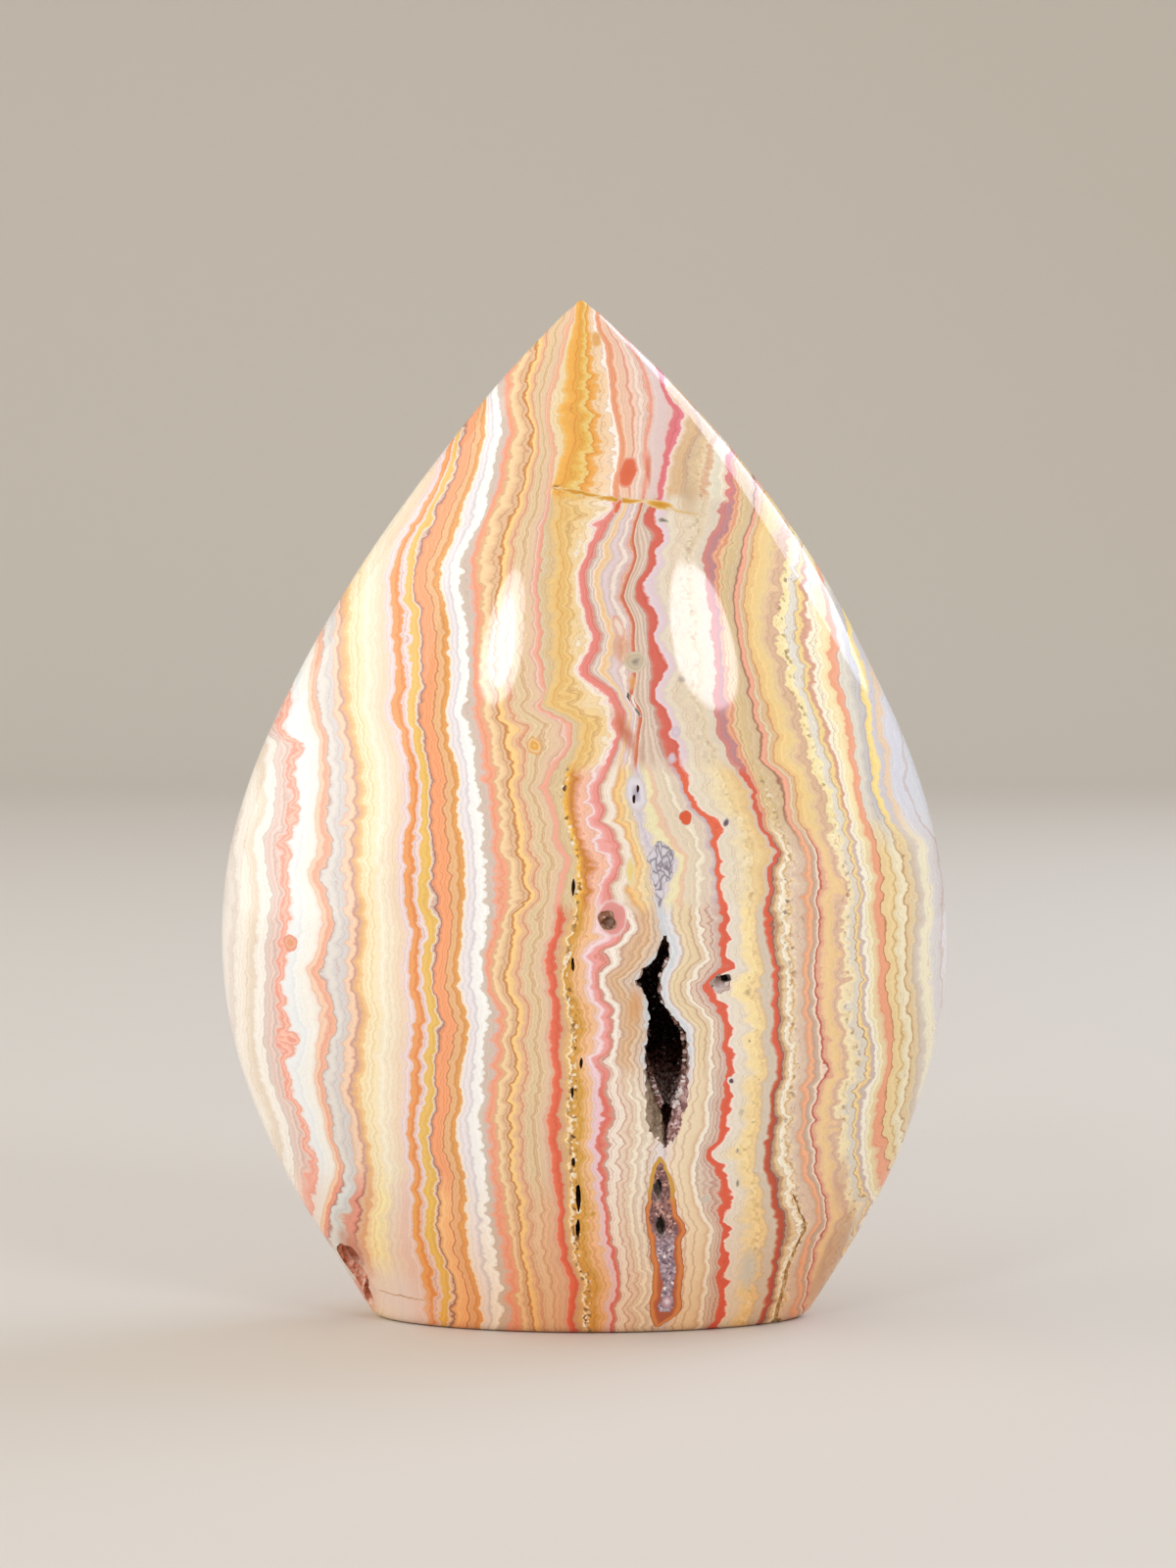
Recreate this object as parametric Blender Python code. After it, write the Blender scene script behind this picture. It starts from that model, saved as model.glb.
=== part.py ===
"""A flame of crazy lace agate: one polished stone, lens-shaped in section, standing on a sawn flat.

The layers of the stone stand upright and run from front to back. Between two of them is a hollow, the
vug, lined with a crust of small quartz crystals. Smaller hollows, an open crack and a rough patch that
the polishing didn't reach break the surface low down.

Lengths are written in millimetres and turned to metres where a mesh is made. The origin is on the base,
under the middle of the stone. X runs along its width, -Y is the face with the vug, and Z is up.
"""

import math

import bmesh
import bpy
import numpy as np

MM = 0.001

# Driving sizes of the stone
HEIGHT = 95.0
SHOULDER = 94.6  # the top ring, just under the rounded tip
BASE_ROUND = 0.9  # radius worn on the edge of the base
SECTION_POWER = 1.25  # 1 is an ellipse and 2 a lens with a sharp rim
SIDES = 56
LEVELS = 46

# The outline seen from the front, as (height, x), and half the thickness, as (height, y)
LEFT_SIDE = [(0, -19.6), (4, -22.1), (12, -27.1), (20, -30.9), (28, -33.2), (36, -33.9), (44, -33.1),
             (52, -30.65), (60, -26.9), (70, -21.05), (80, -13.9), (88, -7.4), (94.6, -1.1)]
RIGHT_SIDE = [(0, 20.7), (4, 23.3), (12, 27.9), (20, 31.2), (28, 33.35), (36, 33.9), (44, 33.05),
              (52, 30.8), (60, 27.3), (70, 22.0), (80, 14.8), (88, 7.6), (94.6, 0.6)]
HALF_THICKNESS = [(0, 8.5), (10, 11.6), (20, 14.3), (30, 16.1), (38, 16.5), (48, 15.7), (58, 13.7),
                  (68, 10.8), (78, 7.3), (86, 4.2), (92, 1.8), (94.6, 0.7)]

# The vug: its left and right edge in the face, its depth, and how much wider it grows inside, by height
VUG_LEFT = [(18.9, 7.0), (21.4, 6.4), (23.0, 5.75), (24.6, 5.5), (26.6, 5.2), (28.6, 5.6), (30.2, 5.7),
            (31.6, 5.5), (33.2, 4.6), (34.2, 5.1), (35.6, 6.4), (37.4, 7.1)]
VUG_RIGHT = [(18.9, 7.3), (21.4, 8.25), (23.0, 8.95), (24.6, 9.3), (26.6, 9.35), (28.6, 9.0), (30.2, 7.95),
             (31.6, 7.1), (33.2, 6.9), (34.2, 7.3), (35.6, 7.9), (37.4, 7.4)]
VUG_DEPTH = [(18.9, 0.8), (21, 3.5), (24, 7.5), (28, 9.5), (32, 8.5), (35, 4.5), (37.4, 0.8)]
VUG_SWELL = [(18.9, 0.0), (22, 0.7), (26, 1.3), (30, 1.7), (33, 1.9), (36, 0.7), (37.4, 0.0)]
VUG_LEVELS = 20
VUG_TURNS = 18

# The crust of quartz crystals on the vug's wall
CRUST_GAP = 0.3  # clearance to the wall
CRUST_THICKNESS = 0.45
CRUST_LOW = 21.8
CRUST_HIGH = 35.0
CRUST_EDGE = math.radians(17)  # how far in from the mouth the crust begins
CRUST_LEVELS = 19
CRUST_TURNS = 16
CRYSTAL_SHORT = 0.25
CRYSTAL_LONG = 0.85
CRYSTAL_ROOM = 0.45  # the share of the way to the middle of the vug that a crystal may fill

# Small hollows in the face, as name: (x, height, half width, half height, depth)
SMALL_HOLLOWS = {
    "hollow_by_pink_seam": (2.1, 38.6, 0.85, 0.9, 1.3),
    "hollow_by_red_ribbon": (12.3, 33.0, 0.95, 0.85, 1.4),
    "slit_above_druse": (6.75, 14.1, 0.45, 1.25, 1.6),
    "slit_in_druse": (6.95, 10.6, 0.6, 1.35, 1.6),
    "slit_in_gold_seam": (-0.5, 13.2, 0.3, 1.5, 0.9),
    "lower_slit_in_gold_seam": (-0.55, 10.3, 0.3, 0.9, 0.9),
    "rough_patch": (-21.1, 6.2, 1.5, 2.5, 2.6),
    "foot_of_rough_patch": (-20.45, 3.2, 0.8, 1.7, 1.8),
    "chip_under_crack": (17.9, 0.3, 0.7, 1.2, 1.5),
}
HOLLOW_RELIEF = 0.06  # how unevenly a hollow is broken out
HOLLOW_SUBDIVISIONS = 2

# The open crack that runs down to the base at the right, as (height, x)
CRACK_PATH = [(12.9, 19.15), (11.1, 19.8), (9.6, 20.35), (7.7, 19.5), (5.9, 18.85), (3.6, 18.45),
              (1.7, 18.0), (-0.6, 17.8)]
CRACK_WIDTH = 0.45
CRACK_FLOOR_WIDTH = 0.18
CRACK_DEPTH = 0.8

# How far a cutter reaches out of the face, so that it cuts cleanly
CUTTER_REACH = 3.0

# Finishes, as (base colour, roughness)
AGATE_FINISH = ((0.78, 0.56, 0.36), 0.1)
DRUSE_FINISH = ((0.30, 0.16, 0.11), 0.3)
QUARTZ_IOR = 1.54


def clear_scene():
    for obj in list(bpy.data.objects):
        bpy.data.objects.remove(obj)


def curve_through(points, at):
    """The smooth curve through (position, value) points. Its slope at each is taken across its neighbours."""
    place, value = np.array(points, float).T
    slope = np.gradient(value, place)
    i = np.clip(np.searchsorted(place, at) - 1, 0, len(place) - 2)
    gap = place[i + 1] - place[i]
    t = np.clip((at - place[i]) / gap, 0, 1)
    start = (2 * t**3 - 3 * t**2 + 1) * value[i] + (t**3 - 2 * t**2 + t) * gap * slope[i]
    end = (3 * t**2 - 2 * t**3) * value[i + 1] + (t**3 - t**2) * gap * slope[i + 1]
    return start + end


def straight_between(points, at):
    place, value = np.array(points, float).T
    return np.interp(at, place, value)


def middle_and_half_width(z):
    left = curve_through(LEFT_SIDE, z)
    right = curve_through(RIGHT_SIDE, z)
    return (left + right) / 2, (right - left) / 2


def face_y(x, z):
    """Where the front face stands at this place. It is negative, as the face is in front of the middle."""
    middle, half_width = middle_and_half_width(z)
    share = np.clip((x - middle) / half_width, -1, 1)
    return -curve_through(HALF_THICKNESS, z) * (1 - share**2) ** (SECTION_POWER / 2)


def section(z):
    """One level of the stone: a closed ring of points, flatter on its faces than an ellipse is."""
    middle, half_width = middle_and_half_width(z)
    half_thickness = curve_through(HALF_THICKNESS, z)
    below_round = max(0.0, BASE_ROUND - z)
    worn = BASE_ROUND - math.sqrt(BASE_ROUND**2 - below_round**2)
    turn = np.linspace(0, 2 * math.pi, SIDES, endpoint=False)
    x = middle + (half_width - worn) * np.cos(turn)
    y = (half_thickness - worn) * np.sign(np.sin(turn)) * np.abs(np.sin(turn)) ** SECTION_POWER
    return np.column_stack([x, y, np.full(SIDES, z)])


def finish(name, colour, roughness):
    material = bpy.data.materials.new(name)
    material.use_nodes = True
    shader = material.node_tree.nodes["Principled BSDF"]
    shader.inputs["Base Color"].default_value = (*colour, 1)
    shader.inputs["Roughness"].default_value = roughness
    shader.inputs["Metallic"].default_value = 0
    shader.inputs["IOR"].default_value = QUARTZ_IOR
    return material


def add_vert(bm, point):
    """A vertex at a point given in millimetres."""
    return bm.verts.new([float(c) * MM for c in point])


def loft(rings):
    """A closed skin over a stack of rings of points, with a flat cap on the first and the last."""
    bm = bmesh.new()
    loops = []
    for ring in rings:
        verts = [add_vert(bm, point) for point in ring]
        loops.append([bm.edges.new(pair) for pair in zip(verts, verts[1:] + verts[:1])])
    for lower, upper in zip(loops, loops[1:]):
        bmesh.ops.bridge_loops(bm, edges=lower + upper)
    for end in (loops[0], loops[-1]):
        bmesh.ops.contextual_create(bm, geom=end)
    bmesh.ops.recalc_face_normals(bm, faces=bm.faces)
    return bm


def add_object(name, bm):
    mesh = bpy.data.meshes.new(name)
    bm.to_mesh(mesh)
    bm.free()
    obj = bpy.data.objects.new(name, mesh)
    bpy.context.scene.collection.objects.link(obj)
    return obj


def polished_body():
    """The stone before its hollows: rings close together on the worn base edge and evenly spaced above."""
    worn_edge = [0, BASE_ROUND / 4]
    heights = worn_edge + list(np.linspace(BASE_ROUND, SHOULDER, LEVELS))
    bm = loft([section(z) for z in heights])
    top_cap = max(bm.faces, key=lambda face: face.calc_center_median().z)
    bmesh.ops.poke(bm, faces=[top_cap], offset=(HEIGHT - SHOULDER) * MM)
    return bm


def vug_middle(z):
    return (straight_between(VUG_LEFT, z) + straight_between(VUG_RIGHT, z)) / 2


def vug_wall(z, turn, inset=0.0):
    """A point of the wall. A turn of 0 is the mouth's left edge, 90 degrees the floor, 180 the right edge."""
    mouth = (straight_between(VUG_RIGHT, z) - straight_between(VUG_LEFT, z)) / 2
    half_width = mouth + curve_through(VUG_SWELL, z) * np.sin(2 * turn) ** 2 - inset
    x = vug_middle(z) - half_width * np.cos(turn)
    depth = (curve_through(VUG_DEPTH, z) - inset) * np.sin(turn) ** 1.5
    return np.array([x, face_y(x, z) + depth, z])


def vug_cutter():
    """The vug as a solid, carried forward out of the face."""
    rings = []
    for z in np.linspace(VUG_LEFT[0][0], VUG_LEFT[-1][0], VUG_LEVELS):
        wall = [vug_wall(z, turn) for turn in np.linspace(0, math.pi, VUG_TURNS)]
        ahead = [edge - [0, CUTTER_REACH, 0] for edge in (wall[-1], wall[0])]
        rings.append(wall + ahead)
    return loft(rings)


def crust_skin(bm, inset):
    """Rows of vertices on the vug's wall, this far in from it, every other row half a step further round."""
    turns = np.linspace(CRUST_EDGE, math.pi - CRUST_EDGE, CRUST_TURNS)
    half_step = (turns[1] - turns[0]) / 2
    rows = []
    for level, z in enumerate(np.linspace(CRUST_LOW, CRUST_HIGH, CRUST_LEVELS)):
        stagger = half_step * (level % 2) * np.sin(turns)
        rows.append([add_vert(bm, vug_wall(z, turn, inset)) for turn in turns + stagger])
    return rows


def grid_faces(bm, rows):
    faces = []
    for lower, upper in zip(rows, rows[1:]):
        for j in range(len(lower) - 1):
            faces.append(bm.faces.new((lower[j], lower[j + 1], upper[j + 1], upper[j])))
    return faces


def border(rows):
    """The vertices round the edge of a grid, in order."""
    right_side = [row[-1] for row in rows[1:-1]]
    left_side = [row[0] for row in rows[-2:0:-1]]
    return rows[0] + right_side + rows[-1][::-1] + left_side


def quartz_crust():
    """A thin bowl on the vug's wall. Each facet of its inner side is drawn up to a crystal point."""
    bm = bmesh.new()
    outer = crust_skin(bm, CRUST_GAP)
    inner = crust_skin(bm, CRUST_GAP + CRUST_THICKNESS)
    grid_faces(bm, outer)
    facets = grid_faces(bm, inner)
    out_rim, in_rim = border(outer), border(inner)
    for a, b, c, d in zip(out_rim, in_rim, in_rim[1:] + in_rim[:1], out_rim[1:] + out_rim[:1]):
        bm.faces.new((a, b, c, d))
    bmesh.ops.recalc_face_normals(bm, faces=bm.faces)
    lengths = np.random.default_rng(7).uniform(CRYSTAL_SHORT, CRYSTAL_LONG, len(facets))
    for facet, length in zip(facets, lengths):
        place = facet.calc_center_median() / MM
        middle = vug_middle(place.z)
        across = place.x - middle
        behind = place.y - face_y(middle, place.z) - curve_through(VUG_DEPTH, place.z) / 2
        room = CRYSTAL_ROOM * math.hypot(across, max(behind, 0.0))
        bmesh.ops.poke(bm, faces=[facet], offset=min(length, room) * MM)
    bmesh.ops.triangulate(bm, faces=bm.faces)
    return bm


def small_hollow(x, z, half_width, half_height, depth):
    """An uneven ball with its middle on the face, so that half of it lies inside the stone."""
    bm = bmesh.new()
    bmesh.ops.create_icosphere(bm, subdivisions=HOLLOW_SUBDIVISIONS, radius=1)
    stray = np.random.default_rng(int(z)).uniform(-HOLLOW_RELIEF, HOLLOW_RELIEF, len(bm.verts))
    centre = (x, float(face_y(x, z)), z)
    for vert, amount in zip(bm.verts, stray):
        swell = 1 + amount / min(half_width, half_height, depth)
        reach = (half_width * swell, depth * swell, half_height * swell)
        vert.co = [(c + direction * r) * MM for c, direction, r in zip(centre, vert.co, reach)]
    return bm


def crack():
    """A blade along the crack's path, narrower at the bottom of the crack than at the face."""
    rings = []
    for z, x in CRACK_PATH:
        face = float(face_y(x, max(z, 0.0)))
        front = face - CUTTER_REACH
        floor = face + CRACK_DEPTH
        wide = CRACK_WIDTH / 2
        narrow = CRACK_FLOOR_WIDTH / 2
        rings.append([(x - wide, front, z), (x + wide, front, z), (x + wide, face, z),
                      (x + narrow, floor, z), (x - narrow, floor, z), (x - wide, face, z)])
    return loft(rings)


def cut(stone, name, bm):
    """Takes a shape out of the stone. The shape stays in the file as a hidden cutter."""
    cutter = add_object(name + "_cutter", bm)
    cutter.hide_render = True
    cutter.display_type = "WIRE"
    modifier = stone.modifiers.new(name, "BOOLEAN")
    modifier.operation = "DIFFERENCE"
    modifier.object = cutter


def build():
    clear_scene()
    stone = add_object("agate_flame", polished_body())
    stone.data.materials.append(finish("polished agate", *AGATE_FINISH))
    stone.data.shade_smooth()
    stone.data.set_sharp_from_angle(angle=math.radians(35))
    cut(stone, "vug", vug_cutter())
    for name, sizes in SMALL_HOLLOWS.items():
        cut(stone, name, small_hollow(*sizes))
    cut(stone, "crack", crack())
    druse = add_object("quartz_druse", quartz_crust())
    druse.data.materials.append(finish("quartz druse", *DRUSE_FINISH))


build()
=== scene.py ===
"""The looks of a crazy lace agate flame: one polished stone, layered, with a crystal-lined vug."""

import math

import bpy
import numpy as np
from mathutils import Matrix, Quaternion, Vector


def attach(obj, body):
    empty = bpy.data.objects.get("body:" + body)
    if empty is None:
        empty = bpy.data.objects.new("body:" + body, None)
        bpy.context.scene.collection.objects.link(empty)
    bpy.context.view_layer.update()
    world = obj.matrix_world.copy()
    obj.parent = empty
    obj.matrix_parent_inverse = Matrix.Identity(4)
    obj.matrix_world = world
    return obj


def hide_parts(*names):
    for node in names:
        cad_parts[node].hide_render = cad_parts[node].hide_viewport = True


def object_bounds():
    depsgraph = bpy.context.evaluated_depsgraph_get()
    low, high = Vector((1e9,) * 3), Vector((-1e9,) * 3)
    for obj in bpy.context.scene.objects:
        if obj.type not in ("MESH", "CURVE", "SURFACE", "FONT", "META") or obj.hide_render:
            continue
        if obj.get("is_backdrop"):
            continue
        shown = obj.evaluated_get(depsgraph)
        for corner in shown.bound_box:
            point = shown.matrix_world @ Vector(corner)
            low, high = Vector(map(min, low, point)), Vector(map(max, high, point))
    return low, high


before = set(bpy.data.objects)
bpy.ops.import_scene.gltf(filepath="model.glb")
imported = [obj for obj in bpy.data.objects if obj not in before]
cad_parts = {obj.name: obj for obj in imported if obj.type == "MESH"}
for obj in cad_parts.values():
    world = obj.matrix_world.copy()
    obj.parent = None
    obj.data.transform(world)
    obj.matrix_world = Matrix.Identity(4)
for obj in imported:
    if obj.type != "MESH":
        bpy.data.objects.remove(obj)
CAD_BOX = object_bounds()

# Camera
# A long lens a third of a metre in front of the stone, on its middle line and looking a little down on it.
CAMERA_PLACE = (0.00036, -0.3291, 0.0647)
CAMERA_DOWN = math.radians(2.545)
CAMERA_LENS = 81.0

camera_data = bpy.data.cameras.new("camera")
camera_data.lens = CAMERA_LENS
camera_data.sensor_width = 36.0
camera_data.clip_start = 0.01
camera = bpy.data.objects.new("camera", camera_data)
camera.location = CAMERA_PLACE
camera.rotation_euler = (math.pi / 2 - CAMERA_DOWN, 0, 0)
bpy.context.scene.collection.objects.link(camera)
bpy.context.scene.camera = camera
bpy.context.scene.view_settings.view_transform = "Standard"


# The polished stone
# One piece of crazy lace agate: chalcedony laid down layer on layer in a crack, growing from both sides
# towards the vug. It was sawn across the layers, ground to a lens with a point, and polished to a gloss.
# Lengths in this section are millimetres, turned to metres where a mesh is made.
MM = 0.001
TIP_START = 93.5
TIP = 95.0
BASE_ROUND = 0.9
SECTION_POWER = 1.25
WIDEST = 36.0
LEFT_SIDE = [(0, -19.6), (4, -22.1), (12, -27.1), (20, -30.9), (28, -33.2), (36, -33.9), (44, -33.1),
             (52, -30.65), (60, -26.9), (70, -21.05), (80, -13.9), (88, -7.4), (94.6, -1.1)]
RIGHT_SIDE = [(0, 20.7), (4, 23.3), (12, 27.9), (20, 31.2), (28, 33.35), (36, 33.9), (44, 33.05),
              (52, 30.8), (60, 27.3), (70, 22.0), (80, 14.8), (88, 7.6), (94.6, 0.6)]
HALF_THICKNESS = [(0, 8.5), (10, 11.6), (20, 14.3), (30, 16.1), (38, 16.5), (48, 15.7), (58, 13.7),
                  (68, 10.8), (78, 7.3), (86, 4.2), (92, 1.8), (94.6, 0.7)]
SIDES = 336
FRONT_SHARE = 2.3  # how many times closer the columns of the grid stand on the front than on the back
BODY_ROWS = 236
BASE_RINGS = 8
EDGE_HEIGHTS = (0.0, 0.12, 0.35, 0.62)
TIP_RINGS = 9


def curve_through(points, at):
    """The smooth curve through (position, value) points, its slopes taken across each one's neighbours."""
    place, value = np.array(points, float).T
    slope = np.gradient(value, place)
    i = np.clip(np.searchsorted(place, at) - 1, 0, len(place) - 2)
    gap = place[i + 1] - place[i]
    t = np.clip((at - place[i]) / gap, 0, 1)
    start = (2 * t**3 - 3 * t**2 + 1) * value[i] + (t**3 - 2 * t**2 + t) * gap * slope[i]
    end = (3 * t**2 - 2 * t**3) * value[i + 1] + (t**3 - t**2) * gap * slope[i + 1]
    return start + end


def middle_and_half_width(z):
    """Half the sum and half the difference of the right and the left side's curves."""
    left = curve_through(LEFT_SIDE, z)
    right = curve_through(RIGHT_SIDE, z)
    return (left + right) / 2, (right - left) / 2


def face_y(x, z):
    """The front face: y = -half thickness * (1 - share**2) ** (power / 2), share being how far out x is."""
    middle, half_width = middle_and_half_width(z)
    share = np.clip((x - middle) / half_width, -1, 1)
    return -curve_through(HALF_THICKNESS, z) * (1 - share**2) ** (SECTION_POWER / 2)


def stone_surface(turn, z, size=1.0):
    """x = middle + half width * cos(turn) and y = half thickness * sin(turn) ** power, keeping its sign.

    Both halves shrink by what is worn off the base edge, and by size on the base and the tip.
    """
    middle, half_width = middle_and_half_width(z)
    below_round = np.maximum(0, BASE_ROUND - z)
    worn = BASE_ROUND - np.sqrt(BASE_ROUND**2 - below_round**2)
    x = middle + size * (half_width - worn) * np.cos(turn)
    bulge = np.sign(np.sin(turn)) * np.abs(np.sin(turn)) ** SECTION_POWER
    y = size * (curve_through(HALF_THICKNESS, z) - worn) * bulge
    return np.stack([x, y, z + 0 * turn], axis=-1)


def even_turns():
    """Turns that share the widest section out evenly by length, closer on the front than on the back."""
    turn = np.linspace(0, 2 * math.pi, 4001)
    ring = stone_surface(turn, np.full(turn.shape, WIDEST))
    step = np.linalg.norm(np.diff(ring, axis=0), axis=1)
    step = step * np.where(turn[1:] > math.pi, FRONT_SHARE, 1.0)
    length = np.concatenate([[0], np.cumsum(step)])
    return np.interp(np.linspace(0, length[-1], SIDES, endpoint=False), length, turn)


def ring_faces(rows, sides):
    """Quads between the rings of a grid that closes on itself sideways, and one face on each end."""
    i, j = np.meshgrid(np.arange(rows - 1), np.arange(sides), indexing="ij")
    k = (j + 1) % sides
    quads = np.stack([i * sides + j, i * sides + k, (i + 1) * sides + k, (i + 1) * sides + j], axis=-1)
    ends = [list(range(sides))[::-1], list(range((rows - 1) * sides, rows * sides))]
    return quads.reshape(-1, 4).tolist() + ends


def add_mesh(name, points, faces):
    """A new object from points in millimetres and lists of corners, smooth all over."""
    mesh = bpy.data.meshes.new(name)
    mesh.from_pydata((np.asarray(points).reshape(-1, 3) * MM).tolist(), [], faces)
    mesh.shade_smooth()
    obj = bpy.data.objects.new(name, mesh)
    bpy.context.scene.collection.objects.link(obj)
    return obj


def uncut_stone():
    """Rings from the middle of the base, out and round its worn edge, up the faces and over the tip."""
    base = [(0.0, size) for size in np.linspace(0.02, 0.98, BASE_RINGS)]
    edge = [(z, 1.0) for z in EDGE_HEIGHTS]
    faces = [(z, 1.0) for z in np.linspace(BASE_ROUND, TIP_START, BODY_ROWS)]
    lean = np.linspace(0.12, 1.5, TIP_RINGS)
    tip = [(TIP_START + (TIP - TIP_START) * math.sin(a), math.cos(a)) for a in lean]
    heights, sizes = np.array(base + edge + faces + tip).T
    turn, z = np.meshgrid(even_turns(), heights)
    size = np.repeat(sizes[:, None], SIDES, axis=1)
    points = stone_surface(turn, z, size)
    return add_mesh("agate_stone", points, ring_faces(len(heights), SIDES))


# The hollows that break its surface: the vug, small hollows, slits in the seams, a crack and a rough corner.
# The vug's mouth as (height, left edge, right edge), then its depth and how far it swells behind the mouth
VUG_MOUTH = [(17.9, 7.0, 7.3), (19.0, 6.2, 8.5), (20.2, 5.8, 9.0), (21.4, 5.6, 9.25), (23.0, 5.45, 9.35),
             (24.6, 5.4, 9.45), (26.6, 5.2, 9.35), (28.6, 5.6, 9.0), (30.2, 5.7, 7.95), (31.6, 5.5, 7.1),
             (33.2, 4.6, 6.9), (34.2, 5.1, 7.3), (35.6, 6.4, 7.9), (37.4, 7.1, 7.4)]
VUG_DEPTH = [(17.9, 0.4), (19, 1.2), (21, 3.5), (24, 7.5), (28, 9.5), (32, 8.5), (35, 4.5), (37.4, 0.8)]
VUG_SWELL = [(17.9, 0.0), (22, 0.5), (26, 1.3), (30, 1.7), (33, 1.9), (36, 0.7), (37.4, 0.0)]
# how far the wall slopes in below the mouth's left and right edges, by height
LIP_LEFT = [(17.9, 0.0), (19, 0.75), (20.2, 1.15), (21.4, 1.3), (23, 1.2), (24.6, 0.8), (26.6, 0.45),
            (28, 0.3), (31, 0.2), (33, 0.45), (35, 0.4), (37.4, 0.0)]
LIP_RIGHT = [(17.9, 0.0), (19, 1.1), (20.2, 1.45), (21.4, 1.4), (23, 0.95), (24.6, 0.75), (27, 0.45),
             (30, 0.4), (32, 0.55), (34, 0.45), (36, 0.2), (37.4, 0.0)]
FULL_LIP = 0.36  # the sine of the turn at which the lip has grown to its full size
VUG_ROWS = 74
VUG_COLUMNS = 44
# lumps on the cut walls, as (millimetres across, seed, millimetres high), and on a hollow's ball of radius 1
VUG_LUMPS = [(1.1, 3, 0.14), (0.45, 4, 0.06)]
CRACK_LUMPS = (1.5, 9, 0.07)
HOLLOW_LUMPS = (1.2, 0.13)
# x, height, half width, half height, depth
CRYSTAL_HOLLOWS = [(2.1, 38.6, 0.85, 0.9, 1.3), (12.25, 32.9, 0.95, 0.85, 0.7), (6.7, 14.0, 0.4, 1.05, 1.5),
                   (6.95, 10.4, 0.5, 1.0, 1.5)]
DEEPER_HOLLOW = (12.6, 33.3, 0.55, 0.4, 1.6)
SEAM_SLITS = [(-0.5, 13.2, 0.22, 1.5, 0.9), (-0.55, 10.3, 0.2, 0.9, 0.9), (-0.95, 41.6, 0.16, 0.7, 0.5),
              (-1.0, 34.7, 0.17, 0.6, 0.5), (-0.25, 25.8, 0.14, 0.5, 0.5), (-1.05, 23.1, 0.14, 0.5, 0.5),
              (-0.95, 16.6, 0.18, 0.45, 0.5), (4.45, 49.4, 0.15, 0.4, 0.3), (4.8, 50.35, 0.13, 0.35, 0.3)]
ROUGH_CORNER = [(-21.9, 5.9, 1.5, 2.1, 1.7), (-20.9, 4.4, 0.95, 2.6, 1.1), (-20.2, 2.4, 0.5, 1.5, 0.9)]
CHIP = (17.95, 0.0, 0.65, 0.6, 0.9)
CRACK_PATH = [(-0.6, 17.8), (1.7, 18.0), (3.6, 18.45), (5.9, 18.85), (7.7, 19.5), (9.6, 20.35),
              (11.1, 19.8), (12.9, 19.15)]
CRACK_WIDTH = 0.62
CRACK_FLOOR_WIDTH = 0.34
CRACK_DEPTH = 0.2
CRACK_NARROWS = (0.8, 0.25)  # the shares of its width that it has at the base and at its upper end
CRACK_ROWS = 60
CUTTER_REACH = 3.0


def lumps(points, grain, seed):
    """An uneven push for each point: the mean of eight sine waves that run in chance directions."""
    rng = np.random.default_rng(seed)
    ways = rng.normal(size=(3, 8)) * 2 * math.pi / grain / 1.7
    pushes = rng.normal(size=(8, 3)) / 8 ** 0.5
    return np.sin(points @ ways + rng.uniform(0, 6.28, 8)) @ pushes


def vug_wall(z, turn, inset=0.0):
    """The vug's wall. A turn of 0 is the mouth's left edge, 90 degrees the back, 180 the right edge.

    x = middle - (half mouth + swell * sin(2 turn)**2 - lip - inset) * cos(turn)
    y = face + (depth - inset) * sin(turn)**1.5
    The lip grows from nothing at the mouth to its full size at a turn of about 20 degrees.
    """
    height, left, right = np.array(VUG_MOUTH).T
    left = np.interp(z, height, left)
    right = np.interp(z, height, right)
    half_width = (right - left) / 2 + curve_through(VUG_SWELL, z) * np.sin(2 * turn) ** 2 - inset
    below_mouth = np.clip(np.abs(np.sin(turn)) / FULL_LIP, 0, 1) ** 0.8
    lip = np.where(np.cos(turn) > 0, curve_through(LIP_LEFT, z), curve_through(LIP_RIGHT, z)) * below_mouth
    x = (left + right) / 2 - (half_width - lip) * np.cos(turn)
    y = face_y(x, z) + (curve_through(VUG_DEPTH, z) - inset) * np.abs(np.sin(turn)) ** 1.5
    return np.stack([x, y, z], axis=-1)


def vug_cutter():
    """The wall as a grid of heights by turns, broken up by small lumps and carried out of the face."""
    heights = np.linspace(VUG_MOUTH[0][0], VUG_MOUTH[-1][0], VUG_ROWS)
    z, turn = np.meshgrid(heights, np.linspace(0, math.pi, VUG_COLUMNS), indexing="ij")
    wall = vug_wall(z, turn)
    wall += sum(lumps(wall, grain, seed) * push for grain, seed, push in VUG_LUMPS)
    ahead = wall[:, [0, -1]] - [0, CUTTER_REACH, 0]
    rings = np.concatenate([wall[:, ::-1], ahead], axis=1)
    return rings, ring_faces(*rings.shape[:2])


def hollow_cutter(x, z, half_width, half_height, depth, seed):
    """A ball about a place on the face, stretched to the hollow's sizes and roughened by small lumps."""
    leans = np.linspace(0.08, math.pi - 0.08, 18)
    lean, turn = np.meshgrid(leans, np.linspace(0, 2 * math.pi, 26)[:-1], indexing="ij")
    ball = np.stack([np.sin(lean) * np.cos(turn), np.sin(lean) * np.sin(turn), -np.cos(lean)], axis=-1)
    grain, push = HOLLOW_LUMPS
    ball = ball * (1 + push * lumps(ball, grain, seed)[..., :1])
    points = ball * [half_width, depth, half_height] + [x, face_y(x, z), z]
    return points, ring_faces(*points.shape[:2])


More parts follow.
